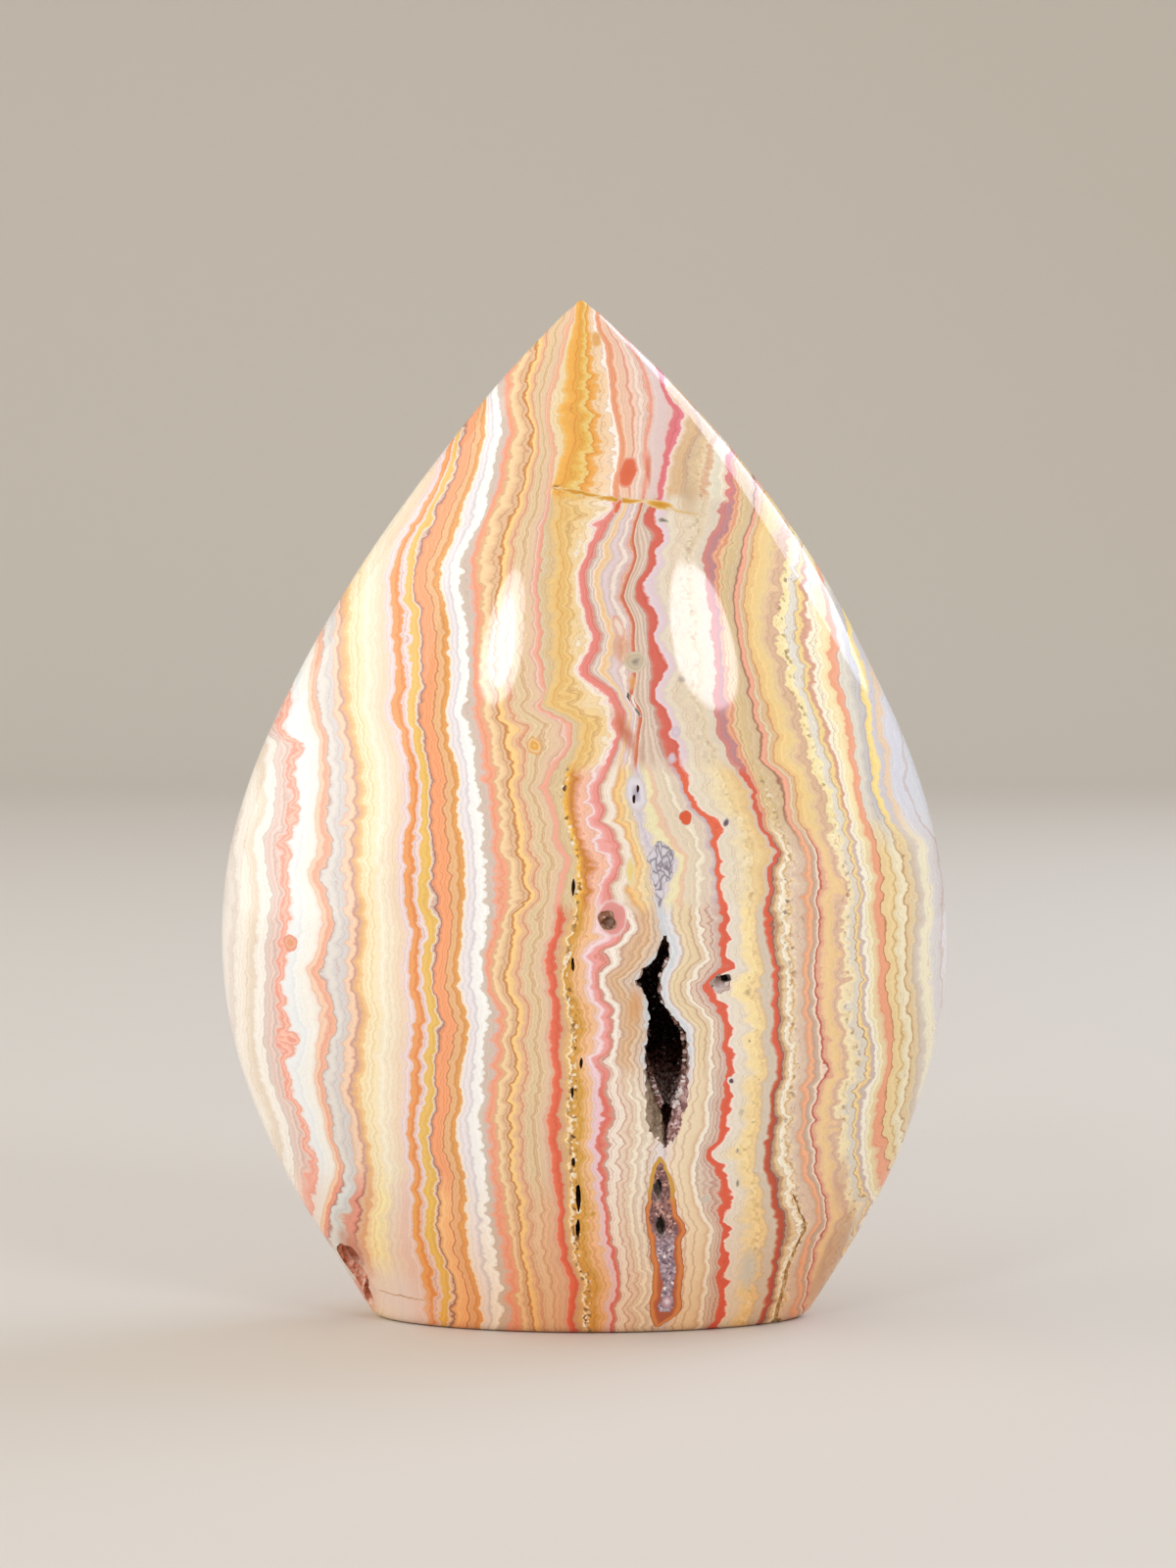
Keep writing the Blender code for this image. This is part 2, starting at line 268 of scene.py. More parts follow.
def crack_cutter():
    """A blade along the crack's path, narrower at the bottom of the crack than at the face."""
    z = np.linspace(CRACK_PATH[0][0], CRACK_PATH[-1][0], CRACK_ROWS)
    x = curve_through(CRACK_PATH, z)
    face = face_y(x, np.maximum(z, 0))
    wide = np.linspace(*CRACK_NARROWS, CRACK_ROWS) * CRACK_WIDTH / 2
    narrow = wide * CRACK_FLOOR_WIDTH / CRACK_WIDTH
    front, floor = face - CUTTER_REACH, face + CRACK_DEPTH
    corners = [(x + wide, front), (x + wide, face), (x + narrow, floor),
               (x - narrow, floor), (x - wide, face), (x - wide, front)]
    rings = np.stack([np.stack([a, b, z], axis=-1) for a, b in corners], axis=1)
    grain, seed, push = CRACK_LUMPS
    rings[:, 1:5] += lumps(rings[:, 1:5], grain, seed) * push
    return rings, ring_faces(*rings.shape[:2])


def cut(stone, shapes):
    """Takes closed shapes, none touching another, out of the stone. Their walls take their own finish."""
    points, faces, finish = [], [], []
    for slot, (ring, ring_lists) in shapes:
        start = sum(len(p) for p in points)
        points.append(ring.reshape(-1, 3))
        faces += [[start + corner for corner in face] for face in ring_lists]
        finish += [slot] * len(ring_lists)
    cutter = add_mesh("cutter", np.concatenate(points), faces)
    for material in stone.data.materials:
        cutter.data.materials.append(material)
    cutter.data.polygons.foreach_set("material_index", finish)
    modifier = stone.modifiers.new("cut", "BOOLEAN")
    modifier.operation = "DIFFERENCE"
    modifier.object = cutter
    cut_mesh = bpy.data.meshes.new_from_object(stone.evaluated_get(bpy.context.evaluated_depsgraph_get()))
    stone.modifiers.clear()
    stone.data = cut_mesh
    bpy.data.objects.remove(cutter)


# The layers, followed up the face: a ribbon as (height, left edge, right edge), a line as (height, x)
SALMON_THREAD = [
    (11, -25.6, -25.0), (13, -25.9, -24.8), (15, -25.6, -24.6), (17.5, -25.9, -25.0), (20, -26.4, -25.4),
    (22.5, -27.5, -26.6), (25, -27.9, -26.9), (26.5, -28.0, -26.1), (28, -28.0, -26.1), (29, -27.9, -26.9),
    (30, -27.95, -27.15), (32.5, -27.9, -27.3), (35, -27.9, -27.0), (37.5, -27.6, -26.8),
    (40, -27.4, -26.4), (42.5, -27.7, -26.8), (45, -28.0, -26.4), (47.5, -27.2, -25.9), (50, -27.1, -26.0),
    (52.5, -27.3, -26.3), (54, -27.1, -25.5), (55, -28.4, -27.2), (57.5, -28.0, -27.0)]
PEACH_RIBBON = [
    (10, -24.4, -23.7), (12.5, -23.6, -22.5), (15, -22.8, -22.2), (17.5, -23.3, -22.7), (20, -23.8, -23.2),
    (22.5, -24.4, -23.7), (25, -24.3, -23.4), (27, -24.3, -23.2), (28, -24.0, -22.6), (30, -23.9, -22.7),
    (32.5, -24.8, -23.8), (33.5, -25.1, -24.1), (35, -24.3, -23.5), (37.5, -23.7, -22.9),
    (40, -24.0, -23.1), (42.5, -24.9, -23.8), (45, -24.1, -22.9), (47.5, -24.4, -23.5), (50, -24.0, -23.1),
    (52.5, -24.0, -23.3), (55, -24.3, -23.6), (57.5, -25.2, -24.5), (60, -25.3, -24.7),
    (62.5, -24.9, -24.3)]
SCALLOPED_LINE = [
    (7.5, -22.2, -21.3), (10, -21.9, -20.9), (12.5, -21.1, -20.1), (15, -20.9, -20.0), (17.5, -20.9, -20.2),
    (20, -21.4, -20.6), (22.5, -21.9, -21.0), (25, -22.0, -20.9), (30, -21.3, -20.5), (33, -21.7, -20.8),
    (35, -21.5, -20.7), (37.5, -21.3, -20.6), (40, -21.6, -20.7), (42.5, -21.8, -20.8), (45, -21.7, -20.9),
    (47.5, -21.3, -20.6), (50, -21.3, -20.6), (52.5, -21.7, -20.9), (55, -22.1, -21.4),
    (57.5, -22.7, -22.0), (60, -23.0, -22.5), (62.5, -23.1, -22.6), (67.5, -22.9, -22.5)]
ORANGE_RIBBON = [
    (0, -14.5, -13.9), (2.5, -14.5, -13.8), (5, -14.8, -14.0), (7.5, -15.3, -14.6), (10, -15.7, -15.0),
    (12.5, -15.5, -14.85), (15, -15.6, -14.9), (17.5, -15.9, -15.1), (20, -15.9, -15.3),
    (22.5, -15.7, -14.8), (25, -15.4, -14.7), (27.5, -15.5, -14.6), (30, -15.1, -14.3),
    (32.5, -15.6, -14.7), (35, -15.7, -14.9), (37.5, -15.3, -14.7), (40, -16.1, -15.1),
    (42.5, -16.1, -15.2), (45, -16.3, -15.4), (47.5, -15.6, -15.1), (50, -15.7, -15.0),
    (52.5, -15.8, -15.1), (54, -16.3, -15.5), (55, -16.5, -15.8), (57.5, -17.5, -16.5), (60, -17.0, -16.2),
    (62.5, -17.1, -16.4), (65, -17.5, -16.7), (67.5, -17.6, -16.9), (72.5, -16.8, -16.2),
    (75, -15.3, -14.7), (77.5, -13.9, -13.3), (80, -12.9, -12.4)]
OCHRE_LINE = [
    (0, -13.2, -12.6), (2.5, -12.9, -12.4), (5, -13.3, -12.5), (7.5, -14.0, -13.2), (10, -14.6, -13.8),
    (12.5, -14.2, -13.5), (15, -14.5, -13.7), (17.5, -14.7, -13.9), (20, -14.8, -13.9),
    (22.5, -14.2, -13.5), (25, -14.1, -13.3), (27.5, -14.0, -13.3), (30, -13.8, -13.1),
    (32.5, -14.3, -13.5), (35, -14.5, -13.7), (37.5, -13.9, -13.3), (40, -14.8, -13.9),
    (42.5, -14.6, -13.7), (45, -14.7, -13.8), (47.5, -14.6, -14.0), (50, -14.7, -14.0),
    (52.5, -14.8, -14.1), (55, -15.4, -14.6), (57.5, -16.0, -15.2), (60, -15.6, -14.8),
    (62.5, -15.5, -14.9), (65, -15.8, -15.0), (67.5, -16.2, -15.5), (72.5, -15.7, -15.2),
    (75, -14.5, -14.0), (77.5, -13.4, -13.0), (80, -12.4, -12.0)]
CORAL_EDGE = [
    (0, -12.1), (2.5, -11.8), (5, -12.0), (7.5, -12.9), (10, -13.4), (12.5, -13.2), (15, -13.3),
    (17.5, -13.7), (20, -13.6), (22.5, -13.2), (25, -13.4), (27.5, -12.9), (30, -12.8), (32.5, -13.5),
    (35, -13.3), (37.5, -12.8), (40, -13.1), (42.5, -13.4), (45, -13.5), (47.5, -13.8), (50, -13.8),
    (52.5, -13.9), (55, -14.3), (57.5, -14.6), (60, -14.5), (62.5, -14.7), (65, -14.8), (67.5, -15.3),
    (70, -15.6), (72.5, -14.6), (75, -13.6), (77.5, -12.3), (80, -11.6), (82.5, -11.1), (85, -10.4)]
CHALK_EDGE = [
    (0, -9.5), (2.5, -9.4), (5, -9.8), (7.5, -10.4), (10, -10.8), (12.5, -10.6), (15, -10.7), (17.5, -11.4),
    (20, -11.4), (22.5, -10.9), (25, -11.1), (27.5, -10.4), (30, -10.5), (32.5, -11.1), (35, -11.1),
    (37.5, -10.8), (40, -10.8), (42.5, -10.6), (45, -10.7), (47.5, -11.2), (50, -11.4), (52.5, -11.4),
    (55, -12.1), (57.5, -12.3), (60, -12.1), (62.5, -12.1), (65, -12.3), (67.5, -12.7), (70, -13.0),
    (72.5, -11.9), (75, -11.3), (77.5, -10.4), (80, -9.7), (82.5, -9.2), (85, -9.1)]
CHALK_TEETH = [
    (0, -7.8), (2.5, -7.6), (5, -7.7), (7.5, -8.2), (10, -8.4), (12.5, -8.6), (15, -8.8), (17.5, -9.0),
    (20, -9.2), (22.5, -8.9), (25, -9.1), (27.5, -8.8), (30, -8.5), (32.5, -8.7), (35, -9.0), (37.5, -8.7),
    (40, -8.7), (42.5, -8.7), (45, -8.9), (47.5, -9.2), (50, -9.6), (52.5, -9.7), (55, -10.0),
    (57.5, -10.9), (60, -10.4), (62.5, -10.5), (65, -10.7), (67.5, -11.1), (70, -11.3), (72.5, -10.3),
    (75, -9.1), (77.5, -8.6), (80, -8.2), (82.5, -7.7), (85, -7.8)]
SALMON_LINE = [
    (0, -6.8, -6.0), (2.5, -6.8, -6.0), (5, -7.1, -6.1), (7.5, -7.5, -6.5), (10, -7.8, -6.8),
    (12.5, -7.9, -7.0), (15, -8.4, -7.6), (17.5, -8.6, -7.8), (20, -8.6, -8.0), (22.5, -8.3, -7.7),
    (25, -8.2, -7.7), (27.5, -7.8, -7.3), (30, -7.8, -7.2), (32.5, -8.6, -8.0), (35, -8.8, -8.2),
    (37.5, -8.3, -7.7), (40.5, -7.9, -6.9), (42.7, -7.9, -6.8), (45, -8.0, -7.3), (47.5, -8.4, -7.9),
    (50, -8.6, -8.0), (52.5, -8.7, -8.1), (55, -9.2, -8.5), (57.5, -9.8, -9.3), (65, -9.9, -9.5),
    (67.5, -9.9, -9.5), (70, -10.3, -10.0), (72.5, -9.8, -9.4), (75, -8.9, -8.6), (77.5, -7.9, -7.6),
    (80, -7.5, -7.0), (82.5, -6.9, -6.4), (85, -7.2, -6.8), (87.5, -7.3, -6.9)]
HONEY_THREAD = [
    (0, -4.8), (2.5, -4.8), (5, -5.2), (7.5, -5.7), (10, -5.7), (12.5, -5.8), (15, -6.4), (17.5, -6.8),
    (20, -6.7), (22.5, -6.6), (25, -6.2), (27.5, -6.3), (30, -6.1), (32.5, -6.9), (33.5, -7.0), (35, -6.8),
    (37.5, -6.4), (39.5, -6.1), (40, -5.3), (42.5, -5.3), (45, -5.6), (47.5, -6.3), (50, -6.7),
    (52.5, -6.6), (55, -7.1), (57.5, -7.9), (60, -7.8), (67, -7.8), (72.5, -7.2), (75, -6.4), (77.5, -5.6),
    (80, -5.0), (82.5, -4.5), (85, -5.2), (87.5, -5.2), (90, -4.4)]
CORAL_RIBBON = [
    (0, -1.4, -0.7), (2.5, -1.6, -0.9), (5, -1.4, -0.6), (7.5, -2.2, -1.5), (10, -2.4, -1.7),
    (12.5, -2.4, -1.8), (15, -2.9, -2.0), (17.5, -3.2, -2.3), (20, -3.3, -2.3), (22.5, -3.1, -2.3),
    (25, -2.8, -2.0), (27.5, -2.8, -1.9), (30, -2.95, -2.0), (32.5, -3.1, -2.4), (35, -3.5, -2.7),
    (37.5, -2.8, -2.1), (40, -2.4, -2.0), (42.5, -2.0, -1.5), (44, -1.4, -1.0), (45, -2.3, -1.8),
    (47.5, -2.7, -2.3), (50, -3.4, -3.0), (51.5, -3.2, -2.8), (52.5, -2.8, -2.3), (53.5, -2.0, -1.5),
    (55, -1.5, -1.0), (56.2, -1.5, -1.0), (57.3, -4.2, -3.7), (58.5, -3.6, -3.2), (60, -3.9, -3.5),
    (62.5, -4.4, -3.9), (65, -4.4, -4.0), (67.5, -4.5, -4.1), (72.5, -4.2, -3.8), (75, -3.6, -3.3),
    (80, -3.0, -2.7), (85, -3.4, -3.1), (90, -2.1, -1.8), (92.5, -1.5, -1.2), (94.3, -0.3, -0.1)]
GOLD_SEAM = [
    (0, 0.0, 1.4), (2.5, -0.1, 1.3), (5, -0.2, 1.3), (7.5, -0.95, 0.6), (10, -1.1, 0.4), (12.5, -1.2, 0.6),
    (15, -1.2, -0.2), (17.5, -1.2, 0.0), (20, -1.4, 0.0), (22.5, -1.4, 0.0), (25, -1.2, -0.3),
    (27.5, -1.1, -0.3), (30, -1.2, 0.0), (32.5, -1.7, -0.8), (33.5, -2.0, -1.2), (35, -1.7, -0.9),
    (37.5, -1.1, -0.3), (40, -0.8, -0.1), (42.5, -0.5, 0.15), (45.3, -0.9, -0.4), (47.8, -1.7, -1.1),
    (50, -1.9, -1.3), (51.8, -1.6, -1.0), (55, -0.4, 0.6), (56.5, -0.6, 0.3), (57.5, -3.0, -2.0),
    (60, -2.8, -1.8), (65, -3.2, -2.0), (67.5, -3.4, -1.9), (70, -2.9, -1.6), (75, -3.0, -1.9),
    (77.5, -2.8, -1.7), (80, -2.1, -1.0), (82.5, -2.0, -0.5), (85, -2.0, -0.4), (87.5, -1.7, -0.6),
    (90, -1.5, -0.3), (93, -0.8, -0.2)]
PINK_SEAM = [
    (0, 2.2, 3.0), (2.5, 2.3, 3.1), (4, 2.7, 3.6), (5, 2.9, 3.6), (7.5, 2.2, 3.2), (10, 1.7, 2.5),
    (12.5, 1.5, 2.4), (15, 1.2, 2.4), (17.5, 0.9, 2.3), (20, 0.9, 2.6), (21, 0.9, 2.8), (22.5, 0.9, 2.2),
    (25, 0.8, 2.2), (27.5, 1.0, 2.4), (29, 1.4, 2.8), (30, 1.2, 2.4), (32.5, 0.5, 1.5), (34, 0.2, 1.3),
    (35, 0.4, 1.9), (36, 0.6, 2.3), (37, 1.2, 3.3), (38.5, 1.1, 3.7), (40, 1.0, 3.2), (41, 1.2, 2.1),
    (42.5, 1.9, 2.6), (43.5, 2.6, 3.1), (45, 2.3, 3.1), (46.5, 1.6, 2.6), (47.5, 1.1, 1.9), (50, 0.5, 1.3),
    (52.5, 1.9, 2.4), (55, 2.8, 3.3), (57, 2.8, 3.8), (58, 2.4, 3.3), (59, 1.5, 2.8), (60, 0.0, 1.1),
    (61, -0.4, 0.4), (62.5, 0.0, 1.0), (64, 0.6, 1.4), (65, 0.1, 0.9), (67.5, -0.3, 0.5), (70, -0.5, 0.1),
    (72, 0.4, 1.1), (73.5, 1.1, 2.1), (74.5, 1.9, 2.6), (75.5, 2.5, 3.0), (77.5, 2.4, 2.9), (80, 3.0, 3.5),
    (82.5, 3.0, 3.5), (84, 2.6, 3.0), (87.5, 2.1, 2.6), (90, 1.8, 2.4), (93, 0.9, 1.3)]
HEALED_MIDDLE = [
    (0, 7.0, 7.3), (1.8, 7.2, 7.6), (2.4, 6.7, 8.2), (3.7, 7.05, 8.1), (5, 7.2, 8.25), (6.3, 6.95, 8.4),
    (7.6, 6.55, 8.2), (8.9, 6.55, 8.2), (10.2, 6.1, 8.55), (11.5, 5.9, 8.0), (12.8, 6.0, 7.75),
    (14.1, 6.05, 7.5), (15.4, 6.4, 7.1), (17.5, 6.9, 7.1), (18.9, 7.0, 7.3), (21.4, 6.4, 8.25),
    (23, 5.75, 8.95), (24.6, 5.5, 9.3), (26.6, 5.2, 9.35), (28.6, 5.6, 9.0), (30.2, 5.7, 7.95),
    (31.6, 5.5, 7.1), (33.2, 4.6, 6.9), (34.2, 5.1, 7.3), (35.6, 6.4, 7.9), (37.4, 7.1, 7.4),
    (38.5, 6.85, 7.15), (40, 6.6, 6.95), (41.5, 6.3, 7.2), (43, 6.0, 8.0), (44, 5.7, 8.2), (45, 5.3, 6.3),
    (46.5, 5.1, 5.4), (48, 4.7, 5.0), (49.4, 4.2, 4.8), (50.3, 4.4, 5.1), (52, 4.5, 4.8), (55, 4.7, 5.0),
    (57, 4.9, 5.3), (58.5, 4.0, 4.5), (60, 4.3, 4.7), (61.6, 4.3, 4.8), (63.1, 4.3, 4.6), (65.3, 4.2, 4.6),
    (66.4, 3.7, 4.1), (67.5, 3.35, 3.75), (68.6, 3.7, 4.0), (69.7, 4.1, 4.4), (70.8, 4.45, 4.8),
    (73, 4.3, 4.6), (75.5, 5.0, 5.3), (78, 5.5, 6.0), (80, 5.5, 6.15), (81.7, 5.55, 5.85), (83, 5.9, 6.2),
    (86, 6.0, 6.4), (90, 4.7, 5.0), (93, 2.6, 2.8)]
CREAM_LINE = [
    (1.5, 10.9), (4, 11.2), (6.3, 11.3), (8, 11.3), (10, 11.4), (12.5, 10.4), (15, 10.0), (17.7, 10.4),
    (20, 11.2), (22.2, 11.3), (24.4, 11.45), (26, 11.3), (28, 11.55), (30, 11.3), (31, 10.3), (32.5, 9.4),
    (34, 10.1), (35.3, 11.0), (36.3, 10.8), (37.3, 10.15), (38.4, 10.35), (41.9, 9.95), (44, 10.1),
    (45.5, 10.2), (47.5, 9.0), (50, 7.6), (52.5, 6.9), (55, 6.2), (58, 5.6), (60, 5.5), (62, 5.6),
    (64, 5.4), (66, 4.9), (67.5, 4.4), (68.5, 4.5), (70, 5.2), (72.5, 5.7), (74, 5.1), (76, 5.9), (80, 6.7),
    (83, 7.0), (86, 7.0), (90, 5.5), (93, 3.3)]
RED_RIBBON = [
    (0, 11.2, 12.0), (2.5, 12.4, 13.1), (4, 12.3, 12.8), (5, 12.1, 12.7), (7.5, 12.4, 13.0),
    (9.6, 12.5, 13.0), (10, 12.5, 13.5), (10.5, 12.4, 12.9), (12.5, 12.3, 13.1), (15, 12.3, 12.9),
    (16.5, 11.3, 12.0), (17.5, 11.1, 11.6), (18.5, 12.0, 12.7), (20, 12.2, 12.9), (22.5, 12.6, 13.4),
    (23.5, 12.6, 13.1), (25, 12.8, 13.4), (27.5, 12.5, 12.9), (28.5, 12.8, 13.5), (30, 12.3, 13.1),
    (31, 11.7, 13.2), (31.4, 11.4, 12.3), (32, 11.0, 11.65), (32.6, 10.5, 11.2), (33.2, 10.9, 11.5),
    (33.7, 11.3, 12.3), (34.2, 11.8, 13.1), (34.8, 12.1, 12.95), (37.5, 12.2, 13.0), (40, 12.3, 12.9),
    (41, 11.9, 12.4), (42.5, 11.8, 12.3), (45, 11.7, 12.1), (46.5, 11.4, 12.1), (47.5, 10.8, 11.8),
    (48.5, 10.0, 10.7), (50, 9.0, 9.5), (51, 8.6, 9.4), (52.5, 7.9, 8.7), (54.5, 7.7, 8.6), (55, 7.1, 7.8),
    (56, 7.4, 8.1), (57.5, 6.6, 7.5), (58, 6.2, 6.8), (60, 6.2, 6.9), (61, 6.3, 7.4), (62.5, 5.8, 7.1),
    (64, 6.1, 6.7), (65, 6.1, 6.8), (67.5, 5.0, 6.1), (68.5, 4.9, 5.8), (70, 5.8, 6.5), (72.5, 6.3, 7.2),
    (73, 6.9, 7.7), (74, 5.7, 6.8), (75, 5.4, 6.5), (76.5, 6.7, 7.3), (77.5, 6.7, 7.4), (80, 7.2, 7.8),
    (82.5, 7.6, 8.7), (85, 7.9, 8.6), (86, 7.5, 8.0), (90, 6.2, 6.7)]
OUTER_RED_RIBBON = [
    (0.5, 16.2, 16.6), (2.5, 16.7, 17.2), (5, 17.1, 17.7), (7.5, 17.6, 18.1), (10, 18.0, 18.7),
    (11, 17.9, 18.6), (12.5, 17.2, 17.9), (15, 16.8, 17.4), (17.5, 16.4, 17.0), (20, 16.8, 17.2),
    (22.5, 17.0, 17.3), (25, 17.5, 17.9), (27.5, 17.2, 17.7), (30, 17.0, 17.5), (32.5, 17.0, 17.4),
    (35, 16.9, 17.2), (37.5, 16.2, 16.6), (40, 16.3, 16.9), (41, 16.6, 17.1), (42.5, 16.4, 16.9),
    (45, 16.7, 17.3), (46, 16.3, 16.8), (47.5, 15.5, 16.1), (49, 14.9, 15.5), (50, 14.9, 15.5),
    (51, 14.2, 15.0), (52.5, 13.4, 14.1), (54, 12.9, 13.8), (55, 12.4, 13.3), (57, 12.0, 13.0),
    (60, 12.0, 12.6), (65, 11.9, 12.4), (70, 11.3, 12.0), (72.5, 11.4, 12.4), (74, 12.3, 13.2),
    (75, 12.8, 13.6), (77.5, 12.9, 13.8), (80, 13.0, 13.6)]
OPEN_LINE = [
    (0, 17.9), (3.6, 18.45), (5, 18.5), (7.5, 19.6), (9.6, 20.3), (11, 19.8), (12.5, 19.3), (15, 19.1),
    (17.5, 18.4), (20, 18.4), (25, 19.2), (28.5, 18.85), (33, 18.8), (40, 18.1), (45, 18.2), (47.5, 17.1),
    (50, 16.3), (52.5, 15.3), (57, 14.6), (60, 14.1), (67.5, 13.2), (75, 14.8)]
ORANGE_THREAD = [
    (5, 19.9, 20.4), (7.5, 20.2, 20.8), (10, 21.2, 21.8), (12.5, 20.8, 21.4), (15, 20.1, 20.7),
    (17.5, 19.6, 20.2), (20, 19.8, 20.2), (22.5, 20.0, 20.5), (25, 20.5, 21.0), (28.5, 20.05, 20.55),
    (33, 19.9, 20.35), (37.5, 20.1, 20.6), (42, 20.0, 20.5), (45, 19.6, 20.1), (47.3, 18.45, 18.8),
    (49.4, 17.95, 18.3), (50.5, 17.75, 18.2), (51.6, 17.0, 17.4), (52.7, 16.0, 16.4), (54.8, 16.1, 16.4),
    (57, 15.35, 15.6), (59.2, 14.93, 15.26), (62.5, 14.2, 14.6), (65, 13.8, 14.2), (67.5, 13.7, 14.1),
    (70, 14.2, 14.6), (72.5, 14.7, 15.0), (75, 15.5, 15.8), (77.5, 16.0, 16.3)]
RED_THREAD = [
    (2.5, 20.7), (5, 21.0), (7.5, 21.5), (9.5, 22.4), (12.5, 21.9), (15, 21.3), (17.5, 21.0), (20, 20.9),
    (22.5, 21.4), (25, 21.7), (28.5, 21.4), (33, 21.0), (37.5, 21.2), (40, 21.1), (45, 20.7), (47.3, 19.55),
    (49.4, 19.05), (50.5, 19.0), (51.6, 18.25), (52.7, 17.35), (54.8, 17.3), (57, 17.0), (59.2, 15.95),
    (62.5, 15.2), (67.5, 14.7), (72.5, 15.6), (77.5, 16.8)]
YELLOW_LACE = [
    (7.5, 23.3, 24.0), (9, 23.9, 24.6), (10, 24.3, 25.0), (11.5, 24.9, 25.4), (12.5, 24.3, 24.8),
    (13.5, 24.0, 24.6), (15, 23.7, 24.3), (17.5, 23.7, 24.3), (20, 23.4, 23.9), (22.5, 23.6, 24.1),
    (25, 24.6, 25.3), (27.5, 24.1, 24.7), (30, 23.5, 24.2), (32.5, 23.9, 24.5), (35, 23.6, 24.2),
    (37.5, 23.4, 24.0), (42.5, 23.5, 24.0), (45, 22.6, 23.3), (47.5, 22.3, 22.8), (50, 21.7, 22.1),
    (52.5, 20.7, 21.5), (54, 20.4, 21.0), (55, 20.0, 20.5), (57.5, 19.4, 19.9), (58.5, 18.8, 19.4),
    (60, 18.5, 19.1), (62.5, 18.0, 18.7), (65, 17.5, 18.1), (67.5, 17.8, 18.4), (70, 18.5, 19.0),
    (72.5, 19.0, 19.5)]
SALMON_BAND = [
    (15.5, 27.3, 28.2), (17.5, 26.8, 27.8), (20, 27.0, 27.7), (22.5, 27.4, 28.0), (25, 27.8, 28.3),
    (27.5, 27.6, 28.2), (30, 27.2, 27.9), (32.5, 26.8, 27.6), (35, 26.8, 27.3), (37.5, 26.8, 27.4),
    (40, 26.4, 27.0), (42.5, 26.7, 27.2), (45, 26.1, 26.5), (47.5, 25.3, 25.8), (50, 24.7, 25.2),
    (52.5, 24.2, 24.9), (55, 23.9, 24.6), (57.5, 23.3, 24.0), (60, 22.5, 23.4), (62.5, 22.5, 23.4),
    (65, 22.5, 23.0), (67.5, 22.1, 22.5), (72.5, 21.0, 21.4)]
YELLOW_RIBBON = [
    (30, 29.9, 30.6), (35, 29.6, 30.2), (37.5, 29.7, 30.5), (40, 29.7, 30.5), (42.5, 29.5, 30.1),
    (45, 28.7, 29.8), (46, 28.1, 28.8), (47.5, 27.3, 27.9), (50, 26.3, 26.9), (52.5, 26.2, 26.9),
    (55, 25.9, 26.5), (57.5, 25.7, 26.2), (60, 25.5, 26.1), (62.5, 24.7, 25.3), (65, 24.2, 24.7)]
SEAMS = [SALMON_THREAD, PEACH_RIBBON, SCALLOPED_LINE, ORANGE_RIBBON, OCHRE_LINE, CORAL_EDGE, CHALK_EDGE,
         CHALK_TEETH, SALMON_LINE, HONEY_THREAD, CORAL_RIBBON, GOLD_SEAM, PINK_SEAM, HEALED_MIDDLE,
         CREAM_LINE, RED_RIBBON, OUTER_RED_RIBBON, OPEN_LINE, ORANGE_THREAD, RED_THREAD, YELLOW_LACE,
         SALMON_BAND, YELLOW_RIBBON]
NAMING_HEIGHT = 30.0  # a layer is known by the x that it has at this height
LEAST_LAYER = 0.06
HEIGHT_STEPS = np.arange(-2, 97.01, 0.1)


def seam_edges():
    """Each edge's x over HEIGHT_STEPS, from left to right.

    Past the heights where it shows in the face, an edge keeps its distance to the next one inwards.
    """
    edges = []
    for seam in SEAMS:
        if seam is HEALED_MIDDLE:
            middle = len(edges)
        edges += [[(point[0], point[column]) for point in seam] for column in range(1, len(seam[0]))]
    table = [None] * len(edges)
    table[middle] = curve_through(edges[middle], HEIGHT_STEPS)
    for i in [*range(middle - 1, -1, -1), *range(middle + 1, len(edges))]:
        side = -1 if i < middle else 1
        inner = table[i - side]
        shown = np.clip(HEIGHT_STEPS, edges[i][0][0], edges[i][-1][0])
        place = curve_through(edges[i], shown) + inner - np.interp(shown, HEIGHT_STEPS, inner)
        table[i] = side * np.maximum(side * place, side * inner + LEAST_LAYER)
    return np.array(table)


EDGES = seam_edges()
EDGE_NAMES = np.array([np.interp(NAMING_HEIGHT, HEIGHT_STEPS, edge) for edge in EDGES])


def layer_at(x, z):
    """The layer at a place: between two seam edges, the same share of the way as between their names."""
    x, z = np.broadcast_arrays(np.asarray(x, float), np.asarray(z, float))
    edges = np.array([np.interp(z, HEIGHT_STEPS, edge) for edge in EDGES])
    k = np.clip((x > edges).sum(axis=0) - 1, 0, len(edges) - 2)
    low = np.take_along_axis(edges, k[None], 0)[0]
    high = np.take_along_axis(edges, k[None] + 1, 0)[0]
    between = EDGE_NAMES[k] + (x - low) / (high - low) * (EDGE_NAMES[k + 1] - EDGE_NAMES[k])
    layer = np.where(x < edges[0], EDGE_NAMES[0] + x - edges[0], between)
    return np.where(x > edges[-1], EDGE_NAMES[-1] + x - edges[-1], layer)


